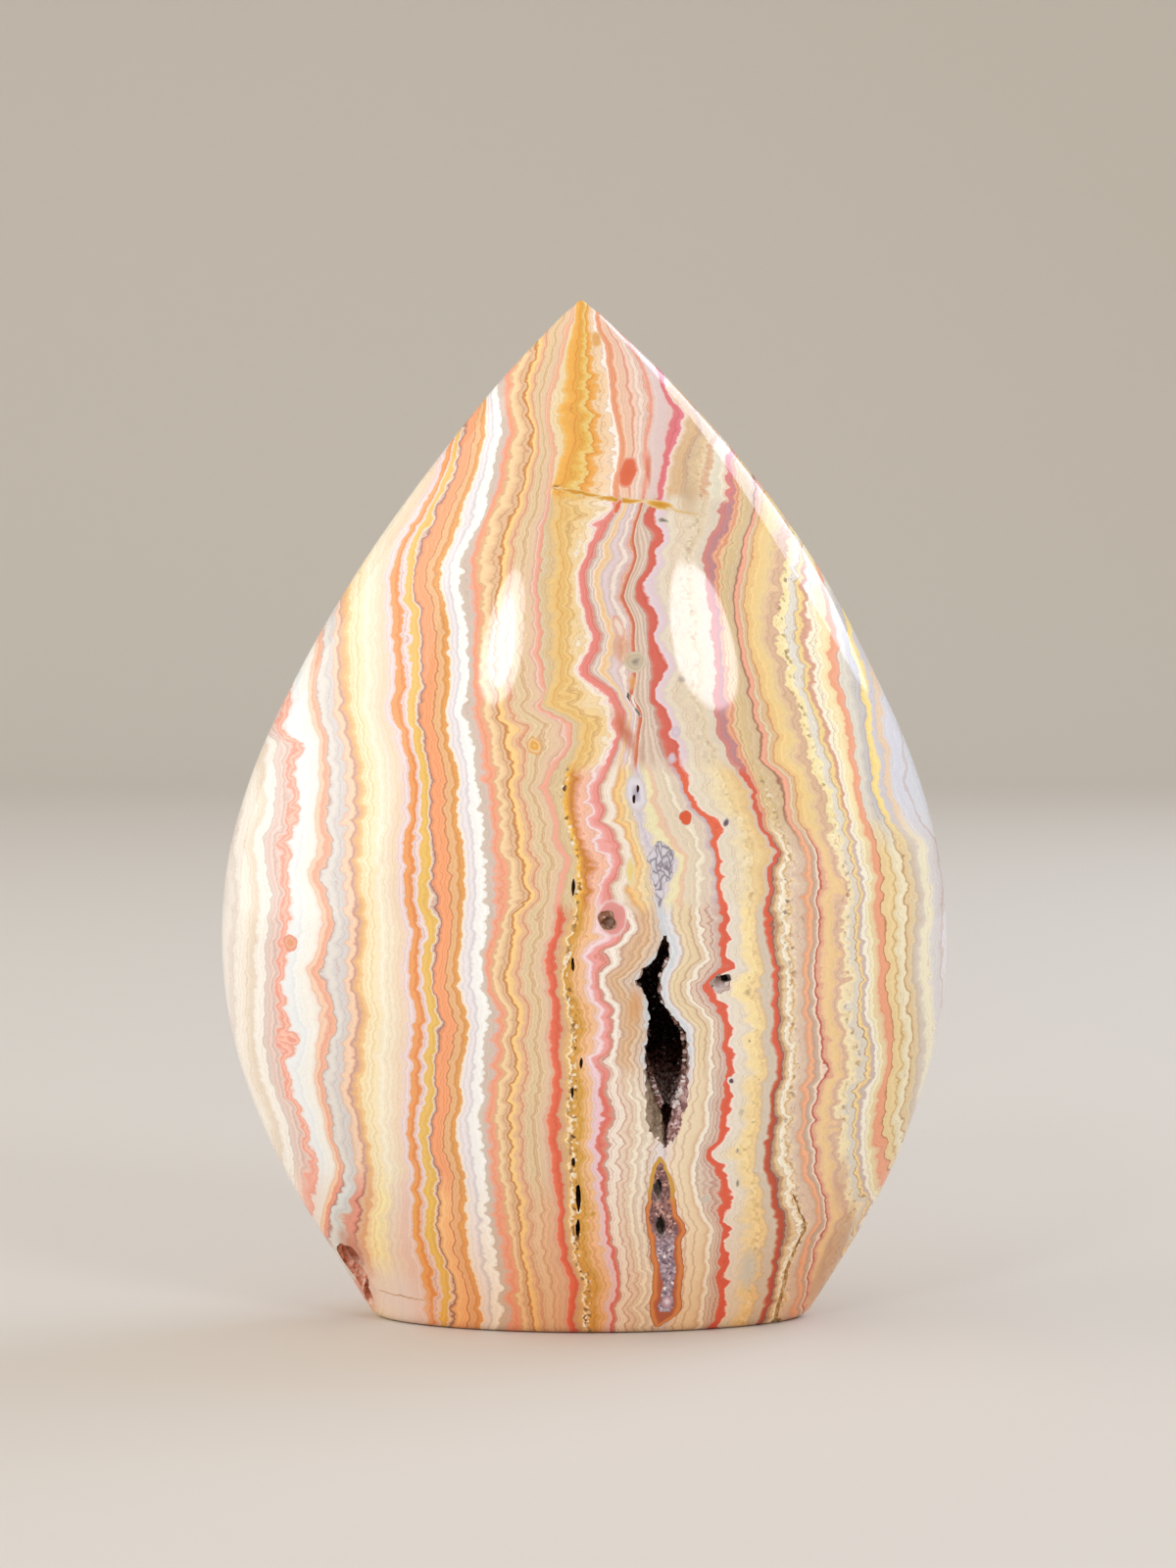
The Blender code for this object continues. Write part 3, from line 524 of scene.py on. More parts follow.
# How the layers' edges are frilled, as (layer, scallop, teeth, grain). A scallop's points lean to the left
# where it is positive. Scallop and teeth are millimetres; grain is the share of coarse quartz in the layer.
FRILLS = [
    (-34, 0.05, 0.0, 0.0), (-28.5, 0.15, 0.0, 0.0), (-27.9, 0.6, 0.2, 0.0), (-27, 0.6, 0.2, 0.0),
    (-25, 0.1, 0.0, 0.0), (-23.2, 0.4, 0.1, 0.0), (-21.3, 0.4, 0.12, 0.0), (-20.5, 0.5, 0.2, 0.0),
    (-19, 0.3, 0.1, 0.1), (-16.5, 0.2, 0.0, 0.05), (-15, 0.3, 0.08, 0.0), (-13, 0.2, 0.05, 0.0),
    (-11, 0.15, 0.05, 0.0), (-9.6, 0.1, 0.0, 0.0), (-9.2, 0.3, 0.25, 0.0), (-8.5, 0.55, 0.45, 0.0),
    (-7.9, 0.4, 0.2, 0.0), (-6, 0.35, 0.1, 0.0), (-4, 0.3, 0.1, 0.1), (-2.9, 0.3, 0.05, 0.0),
    (-2, 0.5, 0.15, 0.0), (-1.4, 0.4, 0.2, 0.2), (-1.1, 0.3, 0.4, 0.9), (-0.7, 0.3, 0.4, 0.8),
    (-0.4, 0.3, 0.2, 0.25), (1, 0.75, 0.15, 0.1), (2.4, 0.7, 0.15, 0.0), (3.2, 0.6, 0.1, 0.0),
    (5, 0.35, 0.15, 0.3), (6, 0.0, 0.2, 0.3), (8, -0.2, 0.15, 0.2), (10, -0.45, 0.1, 0.1),
    (12.2, -0.2, 0.03, 0.0), (12.7, -0.4, 0.05, 0.0), (13.1, -0.85, 0.12, 0.0), (14, -0.7, 0.2, 0.2),
    (15.5, -0.4, 0.25, 0.45), (16.5, -0.2, 0.1, 0.15), (17.0, -0.2, 0.0, 0.0), (17.5, -0.4, 0.15, 0.1),
    (18.8, -0.5, 0.4, 0.6), (20, -0.3, 0.1, 0.0), (21.3, -0.35, 0.05, 0.0), (22.5, -0.5, 0.15, 0.15),
    (23.4, -0.9, 0.5, 0.2), (23.7, -0.9, 0.5, 0.6), (24.2, -0.7, 0.4, 0.5), (24.5, -0.6, 0.3, 0.0),
    (26, -0.4, 0.15, 0.0), (27.5, -0.35, 0.1, 0.0), (30, -0.3, 0.1, 0.05), (34, -0.1, 0.0, 0.0)]
EDGE_FRILLS, GRAIN = slice(0, 2), slice(2, 3)
# Where they are stronger or weaker: from one layer to another, by these shares between these two heights
ALL_LAYERS = (-99, 99)
FRILL_CHANGES = [
    ((-1.6, 0.6), GRAIN, (51, 53.4), (1, 0.2)), ((17.5, 19.5), GRAIN, (50, 55), (1, 0.3)),
    ((0.8, 11), EDGE_FRILLS, (22, 27), (0.6, 1)), ((0.8, 15.5), EDGE_FRILLS, (49, 53), (1, -0.4)),
    ((-99, 0.8), EDGE_FRILLS, (49, 53), (1, 0.7)), ((15.5, 99), EDGE_FRILLS, (49, 53), (1, 0.7)),
    (ALL_LAYERS, EDGE_FRILLS, (75, 77), (1, 0.4))]
# How strongly thin tan lines show where the growth rested, as (layer, share)
REST_LINES = [(-34, 0.35), (-29, 0.5), (-28, 0.2), (-27.2, 0.04), (-24.4, 0.06), (-23.8, 0.6), (-19.5, 0.5),
              (-17, 0.4), (-15.5, 0.7), (-10.5, 0.9), (-10.2, 0.2), (-8.6, 0.12), (-8, 0.8), (4.5, 0.85),
              (8.5, 0.45), (15.8, 0.45), (17, 0.9), (27, 0.9), (34, 0.6)]
# The crystals that fill the seam low down, and the rust-coloured rim round them, as (height, left, right)
DRUSE_PATCH = [
    (1.7, 7.3, 7.5), (2.4, 6.7, 8.2), (3.7, 7.05, 8.1), (5, 7.2, 8.25), (6.3, 6.95, 8.4), (7.6, 6.55, 8.2),
    (8.9, 6.55, 8.2), (9.6, 6.4, 8.45), (10.2, 6.1, 8.55), (11.5, 5.9, 8.0), (12.8, 6.05, 7.8),
    (14.1, 6.15, 7.8), (15.4, 6.35, 7.45), (16.4, 6.7, 7.15), (16.9, 6.9, 7.0)]
RUST_RIM = [
    (0.4, 6.5, 6.6), (1.05, 6.3, 7.5), (1.65, 6.05, 8.5), (2.3, 5.95, 8.95), (3.05, 5.9, 8.95),
    (3.7, 6.2, 8.9), (5, 6.25, 9.0), (6.3, 6.3, 9.1), (7.6, 6.0, 8.95), (8.9, 5.95, 8.9), (9.9, 5.75, 9.35),
    (10.8, 5.65, 9.0), (11.5, 5.6, 8.5), (12.2, 5.5, 8.4), (12.8, 5.7, 8.35), (13.4, 5.75, 8.2),
    (14, 5.8, 8.35), (14.7, 5.85, 8.15), (15.4, 5.95, 7.8), (16.2, 6.2, 7.45), (16.8, 6.5, 7.2),
    (17.3, 6.85, 6.95)]
# The star of grey-lined cells above the vug
STAR = [(39.3, 6.75, 6.95), (40.4, 6.4, 7.15), (41.6, 6.2, 7.3), (42.6, 5.9, 7.9), (43.4, 5.7, 8.4),
        (44.2, 5.4, 8.5), (45.0, 5.9, 8.1), (45.7, 6.5, 7.3), (46.1, 6.8, 6.9)]
OUTSIDE = -5.0
FACE_ONLY = 2.0  # millimetres behind the face where the patch, its rim and the star begin to fade
FADE = 0.25
LAYER_DRIFT = 0.1  # how far a layer strays sideways for each millimetre that it runs back into the stone
SWAY = 0.9


def inside(rows, x, z):
    """How far inside a patch a place is, sideways: positive within its left and right edges."""
    height, left, right = np.array(rows).T
    depth = np.minimum(x - np.interp(z, height, left), np.interp(z, height, right) - x)
    return np.where((z > height[0]) & (z < height[-1]), depth, OUTSIDE)


def mark_layers(mesh):
    """Gives each point of the cut stone its layer, how frilled the layer is there, and the druse patch.

    layer = the layer at x + drift * depth + sway * sin(depth / 6 + height / 17), depth behind the face
    """
    points = np.empty(len(mesh.vertices) * 3)
    mesh.vertices.foreach_get("co", points)
    x, y, z = points.reshape(-1, 3).T / MM
    behind = np.maximum(0, y - face_y(x, z))
    sway = np.sin(behind / 6 + z / 17) * np.minimum(1, behind / 5)
    layer = layer_at(x + LAYER_DRIFT * behind + SWAY * sway, z)
    place, *amounts = np.array(FRILLS).T
    frills = np.stack([np.interp(layer, place, amount) for amount in amounts], axis=-1)
    for (first, last), columns, heights, shares in FRILL_CHANGES:
        within = (layer >= first) & (layer < last)
        frills[:, columns] *= np.where(within, np.interp(z, heights, shares), 1)[:, None]
    fade = FADE * np.maximum(0, behind - FACE_ONLY)
    patch = np.stack([inside(DRUSE_PATCH, x, z) - fade, inside(RUST_RIM, x, z) - fade, behind], axis=-1)
    rest_lines = np.interp(layer, *np.array(REST_LINES).T)
    details = np.stack([inside(STAR, x, z) - fade, rest_lines, 0 * rest_lines], axis=-1)
    for name, kind, values in (("layer", "FLOAT", layer), ("frills", "FLOAT_VECTOR", frills),
                               ("patch", "FLOAT_VECTOR", patch), ("details", "FLOAT_VECTOR", details)):
        attribute = mesh.attributes.new(name, kind, "POINT")
        attribute.data.foreach_set("vector" if kind == "FLOAT_VECTOR" else "value", values.ravel())


# The layers' colours, from left to right: each list is read across the face at the height in front of it,
# as (x, colour).
# the run from the chalk teeth to the honey thread, which is the same all the way up
CHALK_TO_HONEY = [
    (-8.58, "FCFCF8"), (-8.48, "DACEC0"), (-8.2, "D8C8BA"), (-7.95, "DEC5BC"), (-7.84, "EBAF97"),
    (-7.6, "F3A382"), (-7.25, "F0A680"), (-7.1, "F0C899"), (-6.9, "F8DAA7"), (-6.6, "E9C194"),
    (-6.26, "E7BF95"), (-6.16, "C27A3A"), (-6.07, "DE9C52"), (-5.95, "FBD58A"), (-5.62, "F6CB8B"),
    (-5.4, "E7BF9A")]
LEFT_LAYERS = (30.0, [
    (-34.6, "E0DAD7"), (-33.4, "F3EEE7"), (-32.7, "E6DDD5"), (-32.2, "F5F0E7"), (-31.3, "F4ECDF"),
    (-30.9, "EEE3D2"), (-30.5, "E8DAC7"), (-30.2, "F7F3EB"), (-29.4, "F8F5EE"), (-29.15, "D9CEC8"),
    (-29.0, "EAD4CC"), (-28.75, "E2C6BC"), (-28.6, "EDD9D1"), (-28.35, "DFC2B8"), (-28.12, "F0D5CC"),
    (-27.98, "F4B4A2"), (-27.85, "EF9A86"), (-27.62, "F9C6B2"), (-27.45, "EF9E8A"), (-27.32, "F3C8BA"),
    (-27.18, "F1E6E2"), (-26.95, "EFF3F5"), (-26.2, "ECF1F4"), (-25.5, "F5F7F3"), (-24.6, "F8F6EE"),
    (-24.15, "F5E7DD"), (-23.92, "F3CFBA"), (-23.7, "F9D5B8"), (-23.3, "F5BFA7"), (-22.95, "F4AF95"),
    (-22.76, "F7C6A2"), (-22.66, "CBA59D"), (-22.5, "DED9D6"), (-22.1, "E8E4DD"), (-21.8, "D6D2D2"),
    (-21.42, "DFDAD8"), (-21.3, "EACFC1"), (-21.15, "F9DEC4"), (-20.66, "F9D1B1"), (-20.52, "CB9D92"),
    (-20.36, "DAAF9C"), (-20.15, "EEBB84"), (-19.8, "F5CB8F"), (-19.4, "FCE8B8"), (-19.0, "FDF2CC"),
    (-18.5, "FDEFC4"), (-18.1, "FEF6DA"), (-17.6, "FBF2DA"), (-17.3, "F5E9CC"), (-17.0, "FBF0DA"),
    (-16.4, "F4DFC1"), (-15.9, "F6E1CD"), (-15.6, "F1DEDE"), (-15.18, "F0DCDE"), (-15.08, "F2A764"),
    (-14.75, "F3A25C"), (-14.34, "EE9C57"), (-14.24, "F2DBD9"), (-13.9, "F1DBDB"), (-13.8, "ECC26C"),
    (-13.5, "F0C561"), (-13.14, "E9BC5B"), (-13.05, "F6E6D1"), (-12.95, "EAD4C5"), (-12.84, "9C6A60"),
    (-12.74, "DA9371"), (-12.6, "FBA571"), (-12.1, "FBA973"), (-11.76, "F9AC77"), (-11.66, "C47848"),
    (-11.57, "F0BA82"), (-11.3, "EFBD86"), (-11.06, "EAB27A"), (-10.94, "DE9849"), (-10.66, "EAA856"),
    (-10.5, "FBE4BF"), (-10.38, "F8F0E6"), (-10.1, "EDE6EB"), (-9.85, "F4EFF2"), (-9.6, "DDD9DF"),
    (-9.45, "F3F1F0"), (-9.3, "F9FCFB"), *CHALK_TO_HONEY, (-5.25, "EAB48C"), (-5.15, "E69F72"),
    (-5.05, "E9C49E"), (-4.7, "EACEA4"), (-4.45, "E0C79C"), (-4.2, "EFDBB2"), (-3.95, "DBBF96"),
    (-3.8, "EBD0AA"), (-3.5, "E6C8A6"), (-3.02, "E6BDA0")])
LEFT_LOW_LAYERS = (30.0, [
    (-34.6, "E0DAD7"), (-29.4, "F8F5EE"), (-27.98, "F4B4A2"), (-27.4, "EF9E8A"), (-27.18, "F1E6E2"),
    (-24.6, "F4F2EC"), (-24.15, "EFE2D6"), (-23.92, "F8D2B0"), (-23.6, "FCD8B4"), (-23.2, "F2A890"),
    (-22.85, "EE9C88"), (-22.68, "B98478"), (-22.5, "DCE2E4"), (-22.1, "E2EAEE"), (-21.8, "D2DADF"),
    (-21.42, "DCDDDD"), (-21.3, "E6BCAA"), (-21.12, "EBA694"), (-20.66, "E4988A"), (-20.5, "A85A4C"),
    (-20.36, "DAAC92"), (-20.1, "EAC6A4"), (-19.85, "E4AE80"), (-19.55, "EDC090"), (-19.3, "FBE2B4"),
    (-18.9, "FFF4BE"), (-18.4, "FFF8C2"), (-17.8, "FAEEC4"), (-17.3, "EEE0CA"), (-17.0, "F4E8D8"),
    (-16.5, "F2DACC"), (-15.9, "F0D4CA"), (-15.6, "F1DAD4"), (-15.18, "F0D8D2"), (-15.08, "F3AE5C"),
    (-14.75, "F4A852"), (-14.34, "EFA04C"), (-14.24, "F2D5CC"), (-13.9, "F1D7D0"), (-13.8, "ECC45E"),
    (-13.5, "F2C85A"), (-13.14, "EABA52"), (-13.05, "FCE8D0"), (-12.95, "F8E0C6"), (-12.84, "96624E"),
    (-12.72, "E2A878"), (-12.6, "FFC98A"), (-12.2, "FFCC8C"), (-11.76, "FFC084"), (-11.66, "BE7644"),
    (-11.55, "F6C28C"), (-11.06, "EDB27C"), (-10.94, "E29C4C"), (-10.66, "EEAC58"), (-10.5, "FDE6C2"),
    (-10.38, "F8F0E6"), (-9.85, "F4EFF2"), (-9.6, "DDD9DF"), (-9.3, "FBFCF7"), *CHALK_TO_HONEY,
    (-5.2, "E8A87E"), (-5.05, "E9C49E"), (-4.7, "EDC8A0"), (-4.2, "F0CFA8"), (-3.8, "EBBF98"),
    (-3.02, "E6B898")])
BASE_LAYERS = (30.0, [
    (-3.02, "DEC1B1"), (-2.92, "F09A7C"), (-2.75, "EE7048"), (-2.3, "E75E36"), (-2.04, "EB7049"),
    (-1.95, "DDA985"), (-1.65, "DDAE7F"), (-1.35, "E4B772"), (-1.25, "F1C97D"), (-1.1, "FBEAC4"),
    (-0.92, "CC9230"), (-0.7, "DBA336"), (-0.3, "DEA842"), (-0.02, "E6B766"), (0.15, "F2BE82"),
    (0.6, "F5C592"), (0.95, "F0C8B2"), (1.05, "F2D6DC"), (1.3, "EFCBD6"), (1.5, "EFC4CC"), (1.58, "E7786A"),
    (1.9, "E4705E"), (2.05, "E69A86"), (2.15, "D0A896"), (2.3, "F1DED4"), (2.6, "FAF1E4"), (2.95, "F6EAD9"),
    (3.08, "D9AE98"), (3.2, "F2DFCC"), (3.5, "F0DCC6"), (3.62, "D8B094"), (3.78, "F1E4CD"),
    (4.25, "F5ECD8"), (4.4, "DCC2A8"), (4.55, "F2E9D6"), (5.0, "EEE2CE"), (5.15, "D6BBA8"), (5.3, "F0E6DA"),
    (5.75, "E6DEDC"), (7.0, "E2DCDE"), (8.05, "E8E0E0"), (8.3, "D8C4C2"), (8.45, "EDE0D8"), (8.9, "F2E0C8"),
    (9.0, "D8B498"), (9.2, "F3E2C4"), (9.6, "F1DFBE"), (9.75, "DCBE9C"), (9.95, "F2E0BE"), (10.6, "F1DDB8"),
    (10.75, "D9B898"), (10.95, "EDD6B2"), (11.08, "FBF7EA"), (11.3, "FAF3E2"), (11.38, "C7AA94"),
    (11.55, "E9DAC8"), (11.72, "CBA894"), (11.85, "E6D2C4"), (12.0, "C49A88"), (12.2, "E3C8BA"),
    (12.32, "DC6E50"), (12.42, "E4552C"), (12.95, "E2562F"), (13.07, "E8755A"), (13.16, "F4DBD0"),
    (13.35, "EEE5D6"), (13.9, "ECE3D1"), (14.4, "F2E6C8"), (14.7, "F6E2B0"), (15.3, "F9DE9E"),
    (15.9, "F4D698"), (16.1, "D9BE96"), (16.3, "DCCEBA"), (16.85, "DACCB9"), (16.97, "CC7452"),
    (17.08, "C65028"), (17.42, "BE4822"), (17.52, "A0563C")])
LOW_LAYERS = (30.0, [
    (-3.02, "DEC1B1"), (-2.92, "F09A7C"), (-2.75, "EA6C4A"), (-2.3, "E2603E"), (-2.04, "EB7049"),
    (-1.95, "DDA985"), (-1.65, "DDAE7F"), (-1.35, "E4B772"), (-1.25, "F1C97D"), (-1.1, "FBEAC4"),
    (-0.92, "C98D28"), (-0.7, "D99E31"), (-0.3, "DDA33C"), (-0.02, "E4B066"), (0.15, "F2BC80"),
    (0.6, "F5C290"), (0.95, "F1C7AB"), (1.08, "F6D7D5"), (1.35, "F8DDE1"), (1.6, "F3C5C8"),
    (1.75, "F1A4A2"), (2.15, "F29E92"), (2.4, "E18F81"), (2.5, "C59C8E"), (2.62, "EBD5C6"), (2.8, "FBF4E8"),
    (3.2, "F8EEDE"), (3.38, "C8A18A"), (3.5, "DAB596"), (3.9, "E6C49C"), (4.1, "CFA888"), (4.25, "E4BC8E"),
    (4.55, "D6AE88"), (4.7, "E8CBA8"), (4.95, "DCC0A2"), (5.1, "CBAE96"), (5.25, "E6D2BA"), (5.6, "DBCDC0"),
    (5.75, "CDD3D9"), (6.8, "D0D5DB"), (7.8, "D9DEE3"), (8.05, "E2EAEF"), (8.4, "D6DEE8"), (8.75, "F0EFEF"),
    (9.05, "CDB4A4"), (9.2, "EAD8B6"), (9.5, "F0DFB6"), (9.65, "D3B594"), (9.8, "EDD9B0"), (10.3, "E9D3AA"),
    (10.45, "C9A684"), (10.6, "EAD6B6"), (10.95, "E0CAA8"), (11.08, "FBF5E6"), (11.3, "F8EFDC"),
    (11.38, "C49E88"), (11.5, "E8D2BC"), (11.72, "E0C4B0"), (11.82, "C29480"), (11.92, "E2D0C4"),
    (12.1, "D2B4A8"), (12.22, "D9BBAE"), (12.32, "DC6E50"), (12.42, "E25A38"), (12.95, "E05A38"),
    (13.07, "E8755A"), (13.16, "F4DBD0"), (13.35, "EEE5D6"), (13.9, "ECE3D1"), (14.4, "F0E6CF"),
    (14.7, "FDEAB4"), (15.3, "FEE6A6"), (15.9, "F6DAA0"), (16.1, "DEC196"), (16.3, "DCCEBA"),
    (16.85, "DACCB9"), (16.97, "DE7A5E"), (17.08, "E45C36"), (17.42, "E2572F"), (17.52, "D98D79")])
WAIST_LAYERS = (46.7, [
    (-3.2, "F3E4D2"), (-2.85, "F3E2CF"), (-2.72, "F2A68B"), (-2.35, "F3AE96"), (-2.25, "E0C79A"),
    (-1.45, "DFC699"), (-1.25, "F2BE44"), (-1.0, "E9A934"), (-0.8, "CC8132"), (-0.5, "D68A3C"),
    (-0.35, "F1B491"), (0.1, "F5BD9F"), (0.8, "F3C0A8"), (1.1, "F7DDE2"), (1.4, "F7DCDE"), (1.5, "F1A9A5"),
    (1.9, "EF9C93"), (2.4, "E98D85"), (2.55, "D9BBA5"), (2.75, "EAD8C1"), (3.1, "FAF1E3"), (3.35, "F6E9D5"),
    (3.5, "E3C3A0"), (3.75, "F3C172"), (4.1, "F2CE92"), (4.6, "EEDCAE"), (4.95, "E3D6C9"), (5.1, "DDD5DA"),
    (5.25, "D2CAD4"), (5.4, "E2DCE2"), (5.6, "E4DCD2"), (6.0, "F0E8BE"), (6.7, "EFE7BA"), (7.1, "EBC6A4"),
    (7.6, "E9C8AC"), (7.9, "EADCC3"), (8.8, "E8D9BF"), (9.3, "DFD0B4"), (9.6, "F3E9D2"), (9.9, "F1E7D0"),
    (10.1, "DCC9B4"), (10.7, "E6D6C4"), (11.0, "D3C2C4"), (11.3, "CDBBBE"), (11.4, "E0694A"),
    (11.5, "E8623A"), (11.95, "E9663F"), (12.07, "F1D9CC"), (12.3, "E9DFCC"), (13.2, "EADFC6"),
    (13.9, "F2E2BA"), (14.6, "F0D79F"), (15.3, "EBCB8F"), (15.6, "E3C08C"), (15.75, "DDD0BC"),
    (15.9, "DACBBB"), (15.98, "D9694C"), (16.1, "DC5A3C"), (16.5, "E0664A"), (16.6, "D58B7A")])
UPPER_LAYERS = (66.0, [
    (-4.6, "DFDCDC"), (-4.45, "E9C9BC"), (-4.35, "F1AE95"), (-4.1, "F0A98E"), (-4.0, "E3D3B4"),
    (-3.7, "DCC496"), (-3.2, "DDBE8A"), (-2.9, "EAC682"), (-2.3, "E9BE6C"), (-1.6, "EBC880"),
    (-1.0, "F0D49E"), (-0.55, "F5E4C4"), (-0.35, "FAF0E4"), (-0.15, "F8E6E0"), (-0.05, "EA9087"),
    (0.3, "E9847A"), (0.62, "EA8B80"), (0.75, "D3AFA6"), (0.95, "D5BBAE"), (1.15, "EFE0D2"),
    (1.25, "CDB3A4"), (1.4, "FAF1E5"), (1.55, "F3CE9A"), (1.85, "F1CB98"), (2.05, "E8D6C3"),
    (2.4, "DBC8CF"), (2.8, "E4CFC8"), (3.2, "EFE3D6"), (3.55, "DFC4C8"), (3.8, "E9BCA4"), (3.9, "DB9272"),
    (4.0, "CD6C4E"), (4.16, "CB684C"), (4.24, "EED9C4"), (4.36, "D6BEAA"), (4.46, "C4A48E"),
    (4.56, "E4D0BC"), (4.72, "D0B6A4"), (4.86, "E8D6C4"), (5.02, "C9AC9C"), (5.16, "E0CCBC"),
    (5.3, "C29E90"), (5.45, "CF8A7C"), (5.56, "D86A58"), (5.75, "D66250"), (6.2, "D45C48"),
    (6.32, "DE8478"), (6.42, "EADAE0"), (6.85, "DDC6CF"), (7.3, "E7DCC9"), (8.2, "E5D6BC"), (9.2, "E3D4B9"),
    (10.2, "E1D0AF"), (10.9, "E2D5C0"), (11.4, "DFD1BE"), (11.62, "D2877D"), (11.9, "CE8482"),
    (12.2, "BC8D93"), (12.32, "D9A594")])
TOP_LAYERS = (80.0, [
    (-3.3, "EFDFC6"), (-3.05, "EEC4A0"), (-2.95, "F0B48E"), (-2.75, "F0BA98"), (-2.6, "F0DDB8"),
    (-2.2, "EED39A"), (-2.0, "EFB54E"), (-1.3, "EAA63A"), (-0.9, "E6AE42"), (-0.35, "E3B854"),
    (-0.22, "FBE68C"), (0.05, "FDEB96"), (0.18, "E8A83E"), (0.6, "E89E34"), (1.0, "EDB45E"),
    (1.3, "F3CFA0"), (2.3, "F4D5AE"), (2.75, "F6E2C8"), (2.88, "FCF5EA"), (3.08, "FBF0E2"), (3.2, "F0A880"),
    (3.6, "EFA276"), (3.75, "F3CDB0"), (4.3, "EFC6AC"), (4.45, "E9A488"), (4.6, "F0CDB6"), (5.05, "F1DACA"),
    (5.35, "EDCFBE"), (5.5, "EBA58C"), (5.75, "E89680"), (5.95, "EFC0AE"), (6.22, "E6D0C8"),
    (6.9, "E0C8C4"), (7.15, "E6C6BC"), (7.25, "E0787E"), (7.5, "DE6C74"), (7.75, "E4828A"),
    (7.85, "F0DCD2"), (8.1, "E3C9A8"), (8.5, "DDB98C"), (9.2, "DAB588"), (9.5, "C9AA8E"), (9.75, "D6BC98"),
    (10.4, "E0C498"), (10.9, "E3C9A0"), (11.2, "DEB692"), (11.5, "E0B792"), (11.7, "E8E1C9"),
    (12.3, "E6DFC6"), (12.7, "F3EAD3"), (12.95, "EEDCC6"), (13.05, "E1867F"), (13.35, "DF8580"),
    (13.6, "C990A5")])
RIGHT_LAYERS = (28.5, [
    (17.55, "C4705E"), (17.62, "7E5248"), (17.74, "C9A78C"), (17.95, "E3C696"), (18.15, "E6CB9A"),
    (18.3, "FBF4DE"), (18.7, "FBF3DA"), (18.82, "DCAF60"), (18.95, "F3DEB7"), (19.15, "E8D2B8"),
    (19.5, "E2C9B2"), (19.95, "DDC1AA"), (20.05, "EFAB7F"), (20.3, "F4B589"), (20.5, "EDAC83"),
    (20.58, "C8AC98"), (20.95, "D6BCA6"), (21.08, "F6E0CA"), (21.25, "F4D6C0"), (21.34, "B8452E"),
    (21.44, "C8604A"), (21.54, "E7AB8F"), (21.9, "EBBF98"), (22.2, "F5D196"), (22.7, "F4D096"),
    (22.95, "E3BE9C"), (23.45, "E0BCA2"), (23.58, "FBECBA"), (24.0, "FCF1C8"), (24.35, "F8E8BF"),
    (24.47, "E2DCCA"), (25.05, "E5DECE"), (25.16, "BB9572"), (25.26, "F7DD9B"), (25.5, "F5D796"),
    (25.6, "CEBAB2"), (25.9, "D5C2B9"), (26.0, "F8F2DF"), (26.4, "FAF6DA"), (26.7, "F4E9BA"),
    (26.9, "ECD8A8"), (27.25, "ECC99F"), (27.45, "EFA27A"), (27.7, "F3A77E"), (28.0, "EE9E75"),
    (28.1, "BB8D62"), (28.2, "EBCA90"), (28.5, "F0D59C"), (28.9, "EAD094"), (29.0, "CBA66C"),
    (29.1, "E9D59F"), (29.4, "F1E7C5"), (29.85, "F0E3BB"), (29.95, "BC9366"), (30.1, "E8CE9A"),
    (30.6, "E4D2AA"), (30.8, "CFBCA4"), (31.3, "D9CEBE"), (31.7, "EFE8CC"), (32.2, "F0E8C6"),
    (32.6, "DEDAD4"), (33.4, "D4CECD"), (34.6, "DFDCDC")])
RIGHT_UPPER_LAYERS = (53.0, [
    (13.85, "D98D79"), (13.98, "CE9184"), (14.05, "F3B48E"), (14.3, "F5BD94"), (14.5, "E3C798"),
    (15.0, "DCC48F"), (15.3, "DCC49C"), (15.68, "D6BC94"), (15.78, "AC7C62"), (15.88, "B88A70"),
    (15.97, "F2A98B"), (16.35, "F3AE8F"), (16.45, "D7BC9C"), (16.65, "F1DDB4"), (16.8, "DDBE95"),
    (17.1, "E0B888"), (17.2, "DB984F"), (17.35, "EFC988"), (17.8, "F1CF89"), (18.4, "F0D08C"),
    (18.9, "EFD498"), (19.4, "E1BE99"), (19.9, "DDB996"), (20.5, "DDBB9C"), (20.65, "FCEFAE"),
    (21.0, "FDF3B8"), (21.4, "FBEFB8"), (21.55, "EAE6D8"), (22.0, "E6E1D2"), (22.1, "C3A67C"),
    (22.2, "F8E09A"), (22.4, "F5D98F"), (22.5, "D9A287"), (22.75, "DCA990"), (22.85, "F9F4DA"),
    (23.2, "FCF9DC"), (23.5, "FAEFC0"), (23.8, "FAE6B0"), (24.1, "F7D9A8"), (24.2, "F2A57C"),
    (24.6, "F3AA84"), (24.85, "F0B298"), (24.95, "E2DDCC"), (25.4, "DEDACC"), (25.8, "C8C4C2"),
    (26.15, "C3BFC0"), (26.22, "F9DE86"), (26.6, "FBE490"), (26.9, "F8E095"), (27.0, "CECACF"),
    (27.4, "D3CDCF"), (27.6, "ECD0AC"), (28.0, "E6D0B8"), (28.4, "D9DCE6"), (29.2, "D8D9E2"),
    (30.3, "D2D6DC")])
